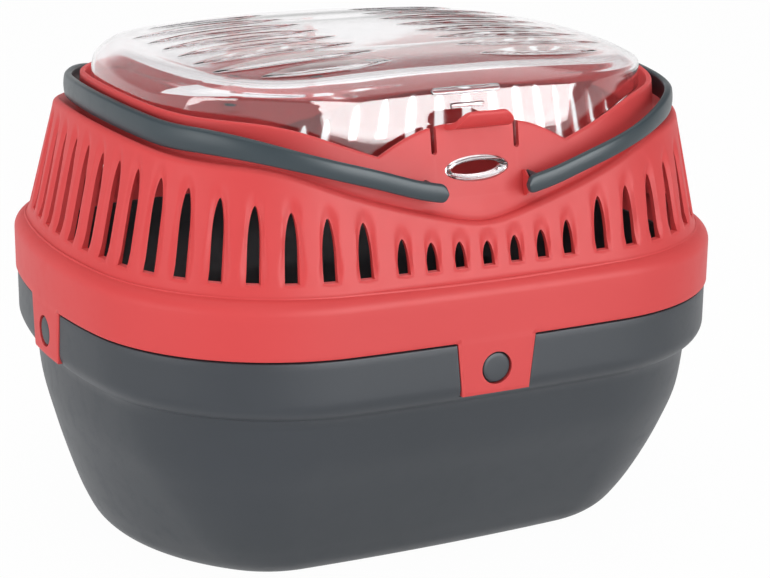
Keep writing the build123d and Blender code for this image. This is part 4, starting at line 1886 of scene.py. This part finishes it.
@dataclass
class Handle:
    """One bail handle: a wavy band with rounded edges, round tips and its two pins."""

    side: float = 1.0
    half_length: float = 127.6
    half_width: float = 114.6
    corner: float = 80.0
    low_thickness: float = 2.8
    top_thickness: float = 4.4
    thicker_from: float = 190.0
    thicker_over: float = 13.0
    half_height: float = 5.1
    tip_share: float = 0.765
    slim_to: float = 66.0
    full_from: float = 128.0
    tip: float = 18.4
    tip_round: float = 4.2
    edge: float = 1.05
    crown: float = 0.65
    pin_radius: float = 1.3
    head_radius: float = 3.6
    columns: int = 260

    def span(self) -> Array:
        """Parameters from the front tip round the end to the rear tip.

        They bunch towards the tips, where the outline turns round.
        """
        probe = np.linspace(0.0, QUARTER, 6001)
        x, _, _, _ = Oval(self.half_length, self.half_width, self.corner, PLAN.shift).at(probe)
        start = float(probe[int(np.argmin(np.abs(x - self.tip)))])
        share = (1.0 - np.cos(np.linspace(0.0, np.pi, self.columns))) / 2.0
        even = np.linspace(0.0, 1.0, self.columns)
        return start + (2.0 * QUARTER - 2.0 * start) * (0.6 * share + 0.4 * even)

    @staticmethod
    def section() -> tuple[Array, Array]:
        """Rounded rectangle, as places across the band's thickness and up its height.

        Returns:
            For each point the side it lies on and its offset there, across and up.
        """
        across, up = [], []
        for number, (inward, top) in enumerate(((0, 1), (1, 1), (1, -1), (0, -1))):
            for step in np.radians((0, 22.5, 45, 67.5, 90)):
                angle = math.pi - step - math.pi / 2 * number
                across.append((inward, math.cos(angle)))
                up.append((top, math.sin(angle)))
        for share in (-0.6, -0.2, 0.2, 0.6):
            across.append((0, -1.0))
            up.append((share, 0.0))
        return np.array(across), np.array(up)

    def rows(self) -> Array:
        """Rows of the band, one per point of its section, one column per place along it.

        The half height grows from the tips to the end and rounds off at the tips. The
        band gets thicker as it rises, and its outer face is crowned.
        """
        outer = Oval(self.half_length, self.half_width, self.corner, PLAN.shift)
        x, y, nx, ny = outer.at(self.span())
        centre = PLAN.handle_wave(np.abs(x))
        inside = np.clip((np.abs(x) - self.tip) / self.tip_round, 0.0, 1.0)
        grown = smooth_step(np.abs(x), self.slim_to, self.full_from)
        slim = self.tip_share + (1.0 - self.tip_share) * grown
        half = self.half_height * slim * np.sqrt(np.clip(1.0 - (1.0 - inside) ** 3.4, 0.0, 1.0))
        edge = np.minimum(self.edge, half * 0.9 + 0.02)
        across, up = self.section()
        rows = []
        for (inward, cos), (top, sin) in zip(across, up):
            z = centre + top * (half - edge) + sin * edge
            high = np.clip((z - self.thicker_from) / self.thicker_over, 0.0, 1.0)
            thick = self.low_thickness + (self.top_thickness - self.low_thickness) * high
            depth = np.where(inward > 0, thick - edge, edge) + cos * edge
            level = np.clip((z - centre) / np.maximum(half, 0.3), -1.0, 1.0)
            depth = depth + self.crown * level**2 * (1.0 - inward)
            rows.append(np.stack([x - nx * depth, y - ny * depth, z], axis=-1))
        return np.stack(rows)

    def pins(self, maker: MeshMaker) -> None:
        """Adds the two pins with their heads inside the apron's wall."""
        pin, head = self.pin_radius, self.head_radius
        for inward, face, far in ((1.0, -118.6, -105.5), (-1.0, 108.6, 95.5)):
            length = abs(far - face)
            radii = (pin, pin, head, head, head - 0.4)
            places = (0.0, length, length, length + 0.9, length + 1.2)
            origin = (self.side * PLAN.pivot_x, face, PLAN.pivot_z)
            maker.grid(turned(radii, places, origin, (0.0, inward, 0.0), 40))

    def build(self, materials: Materials) -> None:
        """Makes the handle's mesh and dresses it."""
        name = "right" if self.side > 0 else "left"
        maker = MeshMaker(f"bail_{name}")
        rows = close_ends(self.rows().swapaxes(0, 1)).swapaxes(0, 1)
        rows[..., 0] *= self.side
        maker.grid(rows, closed=False, ring=True)
        self.pins(maker)
        piece = maker.build(sharp=40.0)
        materials.dress(piece, Finish.DARK)
        hang(piece, f"handle_{name}", f"{name}_handle")


@dataclass
class Lid:
    """Clear domed lid with two fields of ribs, grip bars, an oval ring and its hinge barrel.

    Each level of its dome is a height, both half sizes and the corner's radius.
    """

    levels: tuple[tuple[float, float, float, float], ...] = (
        (184.0, 118.6, 97.4, 79.0),
        (196.0, 118.6, 96.6, 78.0),
        (202.0, 118.0, 95.9, 76.0),
        (206.5, 116.9, 95.0, 71.0),
        (210.0, 115.0, 93.9, 63.0),
        (213.0, 112.0, 91.6, 53.0),
        (215.3, 108.0, 88.2, 44.0),
        (216.7, 104.8, 85.0, 40.0),
        (217.4, 101.6, 82.0, 38.0),
        (218.1, 94.5, 76.0, 36.0),
        (219.2, 78.0, 63.0, 32.0),
        (220.0, 50.0, 40.0, 20.0),
    )
    level_steps: int = 16
    dome_level: float = 2.0
    panel_level: float = 8.6
    middle_rise: float = 0.3
    foot_round: float = 0.5
    arch: float = 2.1
    wall: float = 2.0
    panel_columns: int = 150
    panel_rows: int = 172
    rib_length: float = 72.0
    rib_width: float = 11.0
    rib_rise: float = 0.85
    rib_rows: int = 8
    rib_pitch: float = 18.5
    rib_first: float = -71.0
    rib_middle: float = 56.0
    short_rib: float = 0.78
    short_rib_shift: float = 6.0
    bar_x: float = -0.8
    oval_back: float = -104.8
    oval_half: float = 14.2
    oval_rise: float = 4.8
    plate_half: float = 15.4
    plate_top: float = 195.6
    plate_gap: float = 0.5

    def fine_levels(self) -> Array:
        """The dome's levels with more between them."""
        return through(np.array(self.levels), self.level_steps)

    def sizes(self, v: Array) -> tuple[Array, Array, Array, Array]:
        """Height and plan sizes at level numbers; past the last one the plan shrinks to nothing.

        Args:
            v: Level numbers, where whole ones are the given levels.

        Returns:
            Height, both half sizes and the corner's radius.
        """
        fine = self.fine_levels()
        marks = np.arange(len(fine)) / self.level_steps
        last = len(self.levels) - 1.0
        held = np.clip(v, 0.0, last)
        z, a, b, corner = (np.interp(held, marks, fine[:, i]) for i in range(4))
        shrink = np.clip(1.0 - (v - last), 1e-4, 1.0)
        return z + self.middle_rise * (1.0 - shrink**2), a * shrink, b * shrink, corner * shrink

    def height(self, x: Array, v: Array, z: Array) -> Array:
        """Height with the crease arched along the lid: lower towards the corners.

        Args:
            x: Distance from the middle.
            v: Level number, which says how much of the arch applies.
            z: Height before the arch.

        Returns:
            The height.
        """
        share = smooth_step(v, self.dome_level, 6.0) * (1.0 - smooth_step(v, 8.5, 11.5))
        return z - self.arch * share * smooth_step(np.abs(x), 12.0, 84.0)

    def ring_at(self, v: Array, t: Array) -> Array:
        """Points of the smooth dome at level numbers and places round it."""
        z, a, b, corner = self.sizes(v)
        ring = Oval(a[:, None], b[:, None], corner[:, None], PLAN.shift)
        x, y, _, _ = ring.at(t[None])
        return np.stack([x, y, self.height(x, v[:, None], z[:, None])], axis=-1)

    def level_at(self, x: Array, y: Array) -> Array:
        """Level number of the ring through each point, by halving the span that holds it.

        Args:
            x: Places along the length.
            y: Places across it.

        Returns:
            The level numbers.
        """
        low = np.zeros(x.shape)
        high = np.full(x.shape, float(len(self.levels)))
        for _ in range(30):
            middle = (low + high) / 2.0
            _, a, b, corner = self.sizes(middle)
            inside = Oval(a, b, corner, PLAN.shift).holds(x, y)
            low = np.where(inside, middle, low)
            high = np.where(inside, high, middle)
        return (low + high) / 2.0

    def places(self) -> Array:
        """Places round the panel's border, evenly long along each of its four sides."""
        _, a, b, corner = (float(value) for value in self.sizes(np.array(self.panel_level)))
        marks = Oval(a, b, corner).marks()
        whole = marks[-1]
        whole_t = np.arange(TURN + 1.0)
        key = np.interp([1.5, 4.5, 7.5, 10.5], whole_t, marks)
        parts = []
        for first, last, count in (
            (key[3] - whole, key[0], self.panel_columns),
            (key[0], key[1], self.panel_rows),
            (key[1], key[2], self.panel_columns),
            (key[2], key[3], self.panel_rows),
        ):
            parts.append(first + (last - first) * np.arange(count) / count)
        return np.interp(np.mod(np.concatenate(parts), whole), marks, whole_t)

    def panel(self, border: Array) -> Array:
        """Ribbed top inside the border: rows run across the lid, from front to rear.

        Places blend the four sides, as front, rear, left and right weighted by the
        distance from the side across, less the same blend of the four corners.

        Args:
            border: Border points in order from the left front corner.

        Returns:
            Grid of points.
        """
        wide, high = self.panel_columns, self.panel_rows
        loop = np.concatenate([border, border[:1]])
        front = loop[: wide + 1]
        right = loop[wide : wide + high + 1]
        rear = loop[wide + high : 2 * wide + high + 1][::-1]
        left = loop[2 * wide + high :][::-1]
        u = np.linspace(0.0, 1.0, wide + 1)[None, :, None]
        w = np.linspace(0.0, 1.0, high + 1)[:, None, None]
        grid = (1 - w) * front[None] + w * rear[None] + (1 - u) * left[:, None] + u * right[:, None]
        front_corners = (1 - u) * front[0] + u * front[-1]
        rear_corners = (1 - u) * rear[0] + u * rear[-1]
        grid = grid - (1 - w) * front_corners - w * rear_corners
        x, y = grid[..., 0], grid[..., 1]
        v = self.level_at(x, y)
        z = self.height(x, v, self.sizes(v)[0]) + self.rib_height(x, y)
        edge = np.ones(z.shape, bool)
        edge[1:-1, 1:-1] = False
        return np.stack([x, y, np.where(edge, grid[..., 2], z)], axis=-1)

    @staticmethod
    def offset(rows: Array, depth: float) -> Array:
        """Rows moved inwards at right angles to their surface, straight down at the pole.

        Args:
            rows: Rows of points, closed round.
            depth: How far they move.

        Returns:
            The moved rows.
        """
        along = np.roll(rows, -1, axis=1) - np.roll(rows, 1, axis=1)
        normal = np.cross(along, np.gradient(rows, axis=0))
        size = np.linalg.norm(normal, axis=-1, keepdims=True)
        flat = size < 1e-3
        normal = np.where(flat, np.array([0.0, 0.0, 1.0]), normal / np.where(flat, 1.0, size))
        return rows - depth * normal

    def rib_height(self, x: Array, y: Array) -> Array:
        """Rise of the ribs: lens-shaped in plan, highest at their steep front edge.

        Each rib's half width is the gap between two arcs at that x. The rise falls
        evenly from the front edge to the rear one, and drops off steeply in front.

        Args:
            x: Places along the length.
            y: Places across it.

        Returns:
            The rise at each place.
        """
        rise = np.zeros(x.shape)
        for row in range(self.rib_rows):
            outer_row = row in (0, self.rib_rows - 1)
            centre_y = self.rib_first + row * self.rib_pitch
            half = self.rib_length / 2 * (self.short_rib if outer_row else 1.0)
            middle = self.rib_middle - (self.short_rib_shift if outer_row else 0.0)
            along = np.clip(np.abs(np.abs(x) - middle) / half, 0.0, 1.0)
            lens = 1.0 - along**2.6
            width = self.rib_width * lens
            behind = y - (centre_y - width / 2)
            slow = np.clip(1.0 - behind / np.maximum(width, 0.01), 0.0, 1.0)
            height = self.rib_rise * np.sqrt(lens)
            rise = np.maximum(rise, height * slow * smooth_step(behind, -1.5, 0.5))
        return rise

    def side_rows(self, t: Array, count: int) -> Array:
        """Rows of the nearly upright side between the wavy foot and the dome.

        Args:
            t: Places round the lid.
            count: Number of rows.

        Returns:
            The rows, from the foot up.
        """
        fine = self.fine_levels()
        x, _, _, _ = Oval(*self.levels[0][1:], PLAN.shift).at(t)
        foot = PLAN.lid_wave(x) + self.foot_round
        top = self.levels[int(self.dome_level)][0]
        share = np.linspace(0.0, 1.0, count, endpoint=False)[:, None]
        z = foot[None] + (top - foot[None]) * share
        a, b, corner = (np.interp(z, fine[:, 0], fine[:, i]) for i in (1, 2, 3))
        return on(Oval(a, b, corner, PLAN.shift), t[None], z)

    def shell(self, maker: MeshMaker) -> None:
        """Adds the lid's closed shell, ribbed outside and plain inside."""
        t = self.places()
        shoulder = np.linspace(self.dome_level, self.panel_level, 40)
        top = np.linspace(self.panel_level, float(len(self.levels)), 10)[1:]
        outer = self.ring_at(shoulder, t)
        foot = self.side_rows(t, 7)
        dome = self.ring_at(np.concatenate([shoulder, top]), t)
        inner = self.offset(np.concatenate([foot, dome]), self.wall)
        low = (foot[0] + inner[0]) / 2
        low[:, 2] -= self.foot_round
        maker.grid(np.concatenate([low[None], foot, outer]))
        maker.grid(self.panel(outer[-1]), closed=False)
        maker.grid(np.concatenate([inner[::-1], low[None]]))

    def bar(self, maker: MeshMaker, v: float, half: float, tall: float) -> None:
        """Adds one raised grip bar on the front shoulder, rounded at its ends.

        Args:
            maker: Where the bar goes.
            v: Level number of its middle.
            half: Half its length.
            tall: Half its height.
        """
        place, ahead = self.ring_at(np.array([v, v + 0.15]), np.array([0.0]))[:, 0]
        up = (ahead - place) / np.linalg.norm(ahead - place)
        right = np.array([1.0, 0.0, 0.0])
        out = np.cross(right, up)
        out = -out if out[1] > 0 else out
        angle = np.linspace(0.0, 2.0 * np.pi, 40, endpoint=False)
        body = np.clip(np.abs(np.cos(angle)) * 8.0, 0.0, 1.0)
        across = np.sign(np.cos(angle)) * (half - tall) * body + tall * np.cos(angle)
        along = tall * np.sin(angle)
        rows = []
        for grow, depth in ((1.0, -0.8), (1.0, 0.35), (0.86, 0.6), (0.6, 0.7)):
            ring = place + right * self.bar_x + out * depth
            side = np.sign(across) * (np.abs(across) - (1.0 - grow) * tall)
            rows.append(ring + side[:, None] * right + (along * grow)[:, None] * up)
        maker.grid(close_ends(rows))

    def oval_ring(self, maker: MeshMaker) -> None:
        """Adds the oval boss that shows through the latch tongue."""
        centre = PLAN.oval_centre
        face = float(PLAN.apron_front(np.array(0.0), np.array(centre), 0.0)) - 0.8
        profile = [
            (self.oval_half, self.oval_rise, self.oval_back),
            (self.oval_half, self.oval_rise, face + 0.7),
            (13.9, 4.5, face + 0.2),
            (13.1, 4.0, face),
            (12.2, 3.5, face + 0.3),
            (11.8, 3.2, face + 0.9),
            (11.7, 3.1, self.oval_back),
        ]
        maker.grid(np.stack(ellipses(profile, centre, 80)), ring=True)

    def plate(self, maker: MeshMaker) -> None:
        """Adds the leaning plate behind the apron that carries the oval boss."""
        x = np.linspace(-self.plate_half, self.plate_half, 33)
        bow = np.sqrt(np.clip(1.0 - (x / self.plate_half) ** 2, 0.0, 1.0))
        low = PLAN.oval_centre + 4.7 * bow
        share = np.linspace(0.0, 1.0, 16)[:, None]
        z = low[None] + (self.plate_top - low[None]) * share
        near = PLAN.apron_wall + self.plate_gap
        outer, inner = (
            np.stack([np.broadcast_to(x, z.shape), PLAN.apron_front(0.0 * z, z, inset), z], axis=-1)
            for inset in (near, near + self.wall)
        )
        maker.wrap(np.concatenate([outer, inner[::-1]]))

    def hinge(self, maker: MeshMaker) -> None:
        """Adds the barrel, its pin and the arm that joins them to the lid."""
        y, z = PLAN.lid_hinge_y, PLAN.lid_hinge_z
        barrel = PLAN.ear_inner - 0.4
        pin = PLAN.ear_inner + PLAN.ear_thickness - 0.2
        for half, radii, soft, sides in (
            (barrel, (3.6, 4.0, 4.0, 3.6), 0.4, 40),
            (pin, (2.1, 2.4, 2.4, 2.1), 0.3, 32),
        ):
            places = (0.0, soft, 2 * half - soft, 2 * half)
            maker.grid(turned(radii, places, (-half, y, z), (1, 0, 0), sides))
        maker.grid(block_rows((-15.0, 15.0), (91.0, y), (z - 0.5, z + 2.9)))

    def build(self, materials: Materials) -> None:
        """Makes the lid's mesh and dresses it."""
        maker = MeshMaker("lid")
        self.shell(maker)
        self.bar(maker, 3.9, 15.6, 1.5)
        self.bar(maker, 2.35, 7.8, 1.1)
        self.oval_ring(maker)
        self.plate(maker)
        self.hinge(maker)
        piece = maker.build(sharp=40.0)
        materials.dress(piece, Finish.CLEAR)
        hang(piece, "lid", "clear_lid")


@dataclass(frozen=True)
class Lamp:
    """A soft box lamp. Places and sizes are in metres, and a glow of 1 looks white.

    A box that doesn't light lights nothing and only shows in shiny surfaces. One that
    doesn't show isn't mirrored.
    """

    name: str
    place: Triple
    aim: Triple
    size: tuple[float, float]
    glow: float
    lights: bool = True
    shows: bool = True

    def build(self) -> None:
        """Adds the lamp.

        Its power is its glow times its area times pi, because an even box sends that
        much light out of one face.
        """
        data = bpy.data.lights.new(self.name, "AREA")
        data.shape = "RECTANGLE"
        data.size, data.size_y = self.size
        data.energy = self.glow * self.size[0] * self.size[1] * math.pi
        lamp = bpy.data.objects.new(self.name, data)
        lamp.location = self.place
        way = Vector(self.aim) - Vector(self.place)
        lamp.rotation_euler = way.to_track_quat("-Z", "Y").to_euler()
        lamp.visible_diffuse = self.lights
        lamp.visible_transmission = self.lights
        lamp.visible_glossy = self.shows
        bpy.context.scene.collection.objects.link(lamp)


def beside(turn: float, distance: float, height: float) -> tuple[Triple, Triple]:
    """Place of a lamp at an angle from the front, and the level point that it faces.

    Args:
        turn: Angle from the front in degrees, to the right.
        distance: Distance from the carrier's middle in metres.
        height: Height in metres.

    Returns:
        The place and the point.
    """
    angle = math.radians(turn)
    place = (distance * math.sin(angle), -distance * math.cos(angle), height)
    return place, (0.0, 0.0, height)


@dataclass
class Studio:
    """White floor and surround, soft lamps and the camera at the photo's angle."""

    turn: float = -26.07
    tilt: float = 15.85
    roll: float = 0.38
    distance: float = 940.05
    target: Triple = (0.0, 0.0, 105.0)
    focal_px: float = 2049.3
    centre_px: tuple[float, float] = (358.21, 277.92)
    sensor: float = 36.0
    daylight: tuple[float, float] = (0.4, 0.3)
    front_gloss: float = 0.07
    high_gloss: float = 0.12
    floor_half: float = 6000.0
    floor_drop: float = 0.05
    floor_glow: float = 0.975
    lamps: tuple[Lamp, ...] = (
        Lamp("front_box", *beside(15.0, 1.4, 0.42), (1.46, 0.66), 2.4),
        Lamp("front_card", *beside(15.0, 1.38, 0.42), (1.36, 0.7), 9.0, lights=False),
        Lamp("left_box", *beside(-81.0, 1.3, 0.27), (0.8, 0.5), 5.0),
        Lamp("top_box", (0.1, 0.1, 1.9), (0.1, 0.1, 0.0), (2.5, 2.6), 1.1),
        Lamp("fill_box", (-0.15, -1.2, 1.0), (0.0, 0.0, 0.15), (1.2, 0.8), 0.8, shows=False),
    )

    def axes(self) -> tuple[Array, Array, Array]:
        """Right, up and back directions of the camera."""
        turn, tilt, roll = (math.radians(value) for value in (self.turn, self.tilt, self.roll))
        level_back = np.array([math.sin(turn), -math.cos(turn), 0.0])
        back = level_back * math.cos(tilt) + np.array([0.0, 0.0, math.sin(tilt)])
        level = np.array([math.cos(turn), math.sin(turn), 0.0])
        rise = np.cross(back, level)
        right = level * math.cos(roll) + rise * math.sin(roll)
        up = rise * math.cos(roll) - level * math.sin(roll)
        return right, up, back

    def camera(self) -> None:
        """Makes the camera and makes it the scene's."""
        right, up, back = self.axes()
        data = bpy.data.cameras.new("camera")
        data.sensor_width = self.sensor
        data.lens = self.focal_px * self.sensor / PHOTO_WIDTH
        data.shift_x = (PHOTO_WIDTH / 2 - self.centre_px[0]) / PHOTO_WIDTH
        data.shift_y = (self.centre_px[1] - PHOTO_HEIGHT / 2) / PHOTO_WIDTH
        data.clip_start = 0.01
        data.clip_end = 20.0
        place = (np.array(self.target) + self.distance * back) * MM
        matrix = np.eye(4)
        matrix[:3] = np.stack([right, up, back, place], axis=1)
        camera = bpy.data.objects.new("camera", data)
        camera.matrix_world = Matrix(matrix.tolist())
        bpy.context.scene.collection.objects.link(camera)
        bpy.context.scene.camera = camera

    @staticmethod
    def seen(tree: Tree, path: bpy.types.Node) -> Socket:
        """1 for what the camera sees, directly or through the clear lid, else 0."""
        rays = (path.outputs["Is Camera Ray"], path.outputs["Is Transmission Ray"])
        return calculate(tree, "MAXIMUM", *rays)

    def world(self) -> None:
        """Plain pale surround, white to the camera and through the lid.

        In shiny surfaces it is white low at the rear and darker in front and above.
        """
        world = bpy.data.worlds.new("surround")
        world.use_nodes = True
        tree = world.node_tree
        bpy.context.scene.world = world
        path = tree.nodes.new("ShaderNodeLightPath")
        way = tree.nodes.new("ShaderNodeTexCoord")
        split = tree.nodes.new("ShaderNodeSeparateXYZ")
        tree.links.new(way.outputs["Generated"], split.inputs["Vector"])
        rear = ramp(tree, split.outputs["Y"], (-0.3, 0.2), (self.front_gloss, 1.0))
        high = ramp(tree, split.outputs["Z"], (0.24, 0.33), (1.0, self.high_gloss))
        mirrored = calculate(tree, "MULTIPLY", rear, high)
        sky = ramp(tree, split.outputs["Z"], (0.2, 0.9), self.daylight)
        unseen = blend_values(tree, path.outputs["Is Glossy Ray"], sky, mirrored)
        strength = blend_values(tree, self.seen(tree, path), unseen, 1.0)
        shown = tree.nodes["Background"]
        shown.inputs["Color"].default_value = (1.0, 1.0, 1.0, 1.0)
        tree.links.new(strength, shown.inputs["Strength"])

    def floor(self) -> None:
        """White floor that keeps the carrier's shadow and melts into the white surround."""
        maker = MeshMaker("floor")
        side = np.linspace(-self.floor_half, self.floor_half, 9)
        x, y = np.meshgrid(side, side)
        maker.grid(np.stack([x, y, np.full(x.shape, -self.floor_drop)], axis=-1), closed=False)
        piece = maker.build()
        material, tree, shader = Materials.start("white_floor")
        shader.inputs["Base Color"].default_value = (0.85, 0.85, 0.85, 1.0)
        shader.inputs["Roughness"].default_value = 0.9
        shader.inputs["Specular IOR Level"].default_value = 0.1
        glow = tree.nodes.new("ShaderNodeEmission")
        glow.inputs["Strength"].default_value = 1.0
        path = tree.nodes.new("ShaderNodeLightPath")
        shown = calculate(tree, "MAXIMUM", self.seen(tree, path), path.outputs["Is Glossy Ray"])
        share = calculate(tree, "MULTIPLY", shown, self.floor_glow)
        Materials.choose(tree, share, shader.outputs["BSDF"], glow.outputs["Emission"])
        piece.data.materials.append(material)

    def build(self) -> None:
        """Sets the stage: camera, surround, floor and lamps."""
        bpy.context.scene.view_settings.view_transform = "Standard"
        self.camera()
        self.world()
        self.floor()
        for lamp in self.lamps:
            lamp.build()


def main() -> None:
    """Builds the stage and the carrier's pieces."""
    logging.basicConfig(level=logging.INFO)
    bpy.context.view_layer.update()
    Studio().build()
    materials = Materials()
    Tub().build(materials)
    Cover().build(materials)
    Handle(1.0).build(materials)
    Handle(-1.0).build(materials)
    Lid().build(materials)


if __name__ == "__main__":
    main()
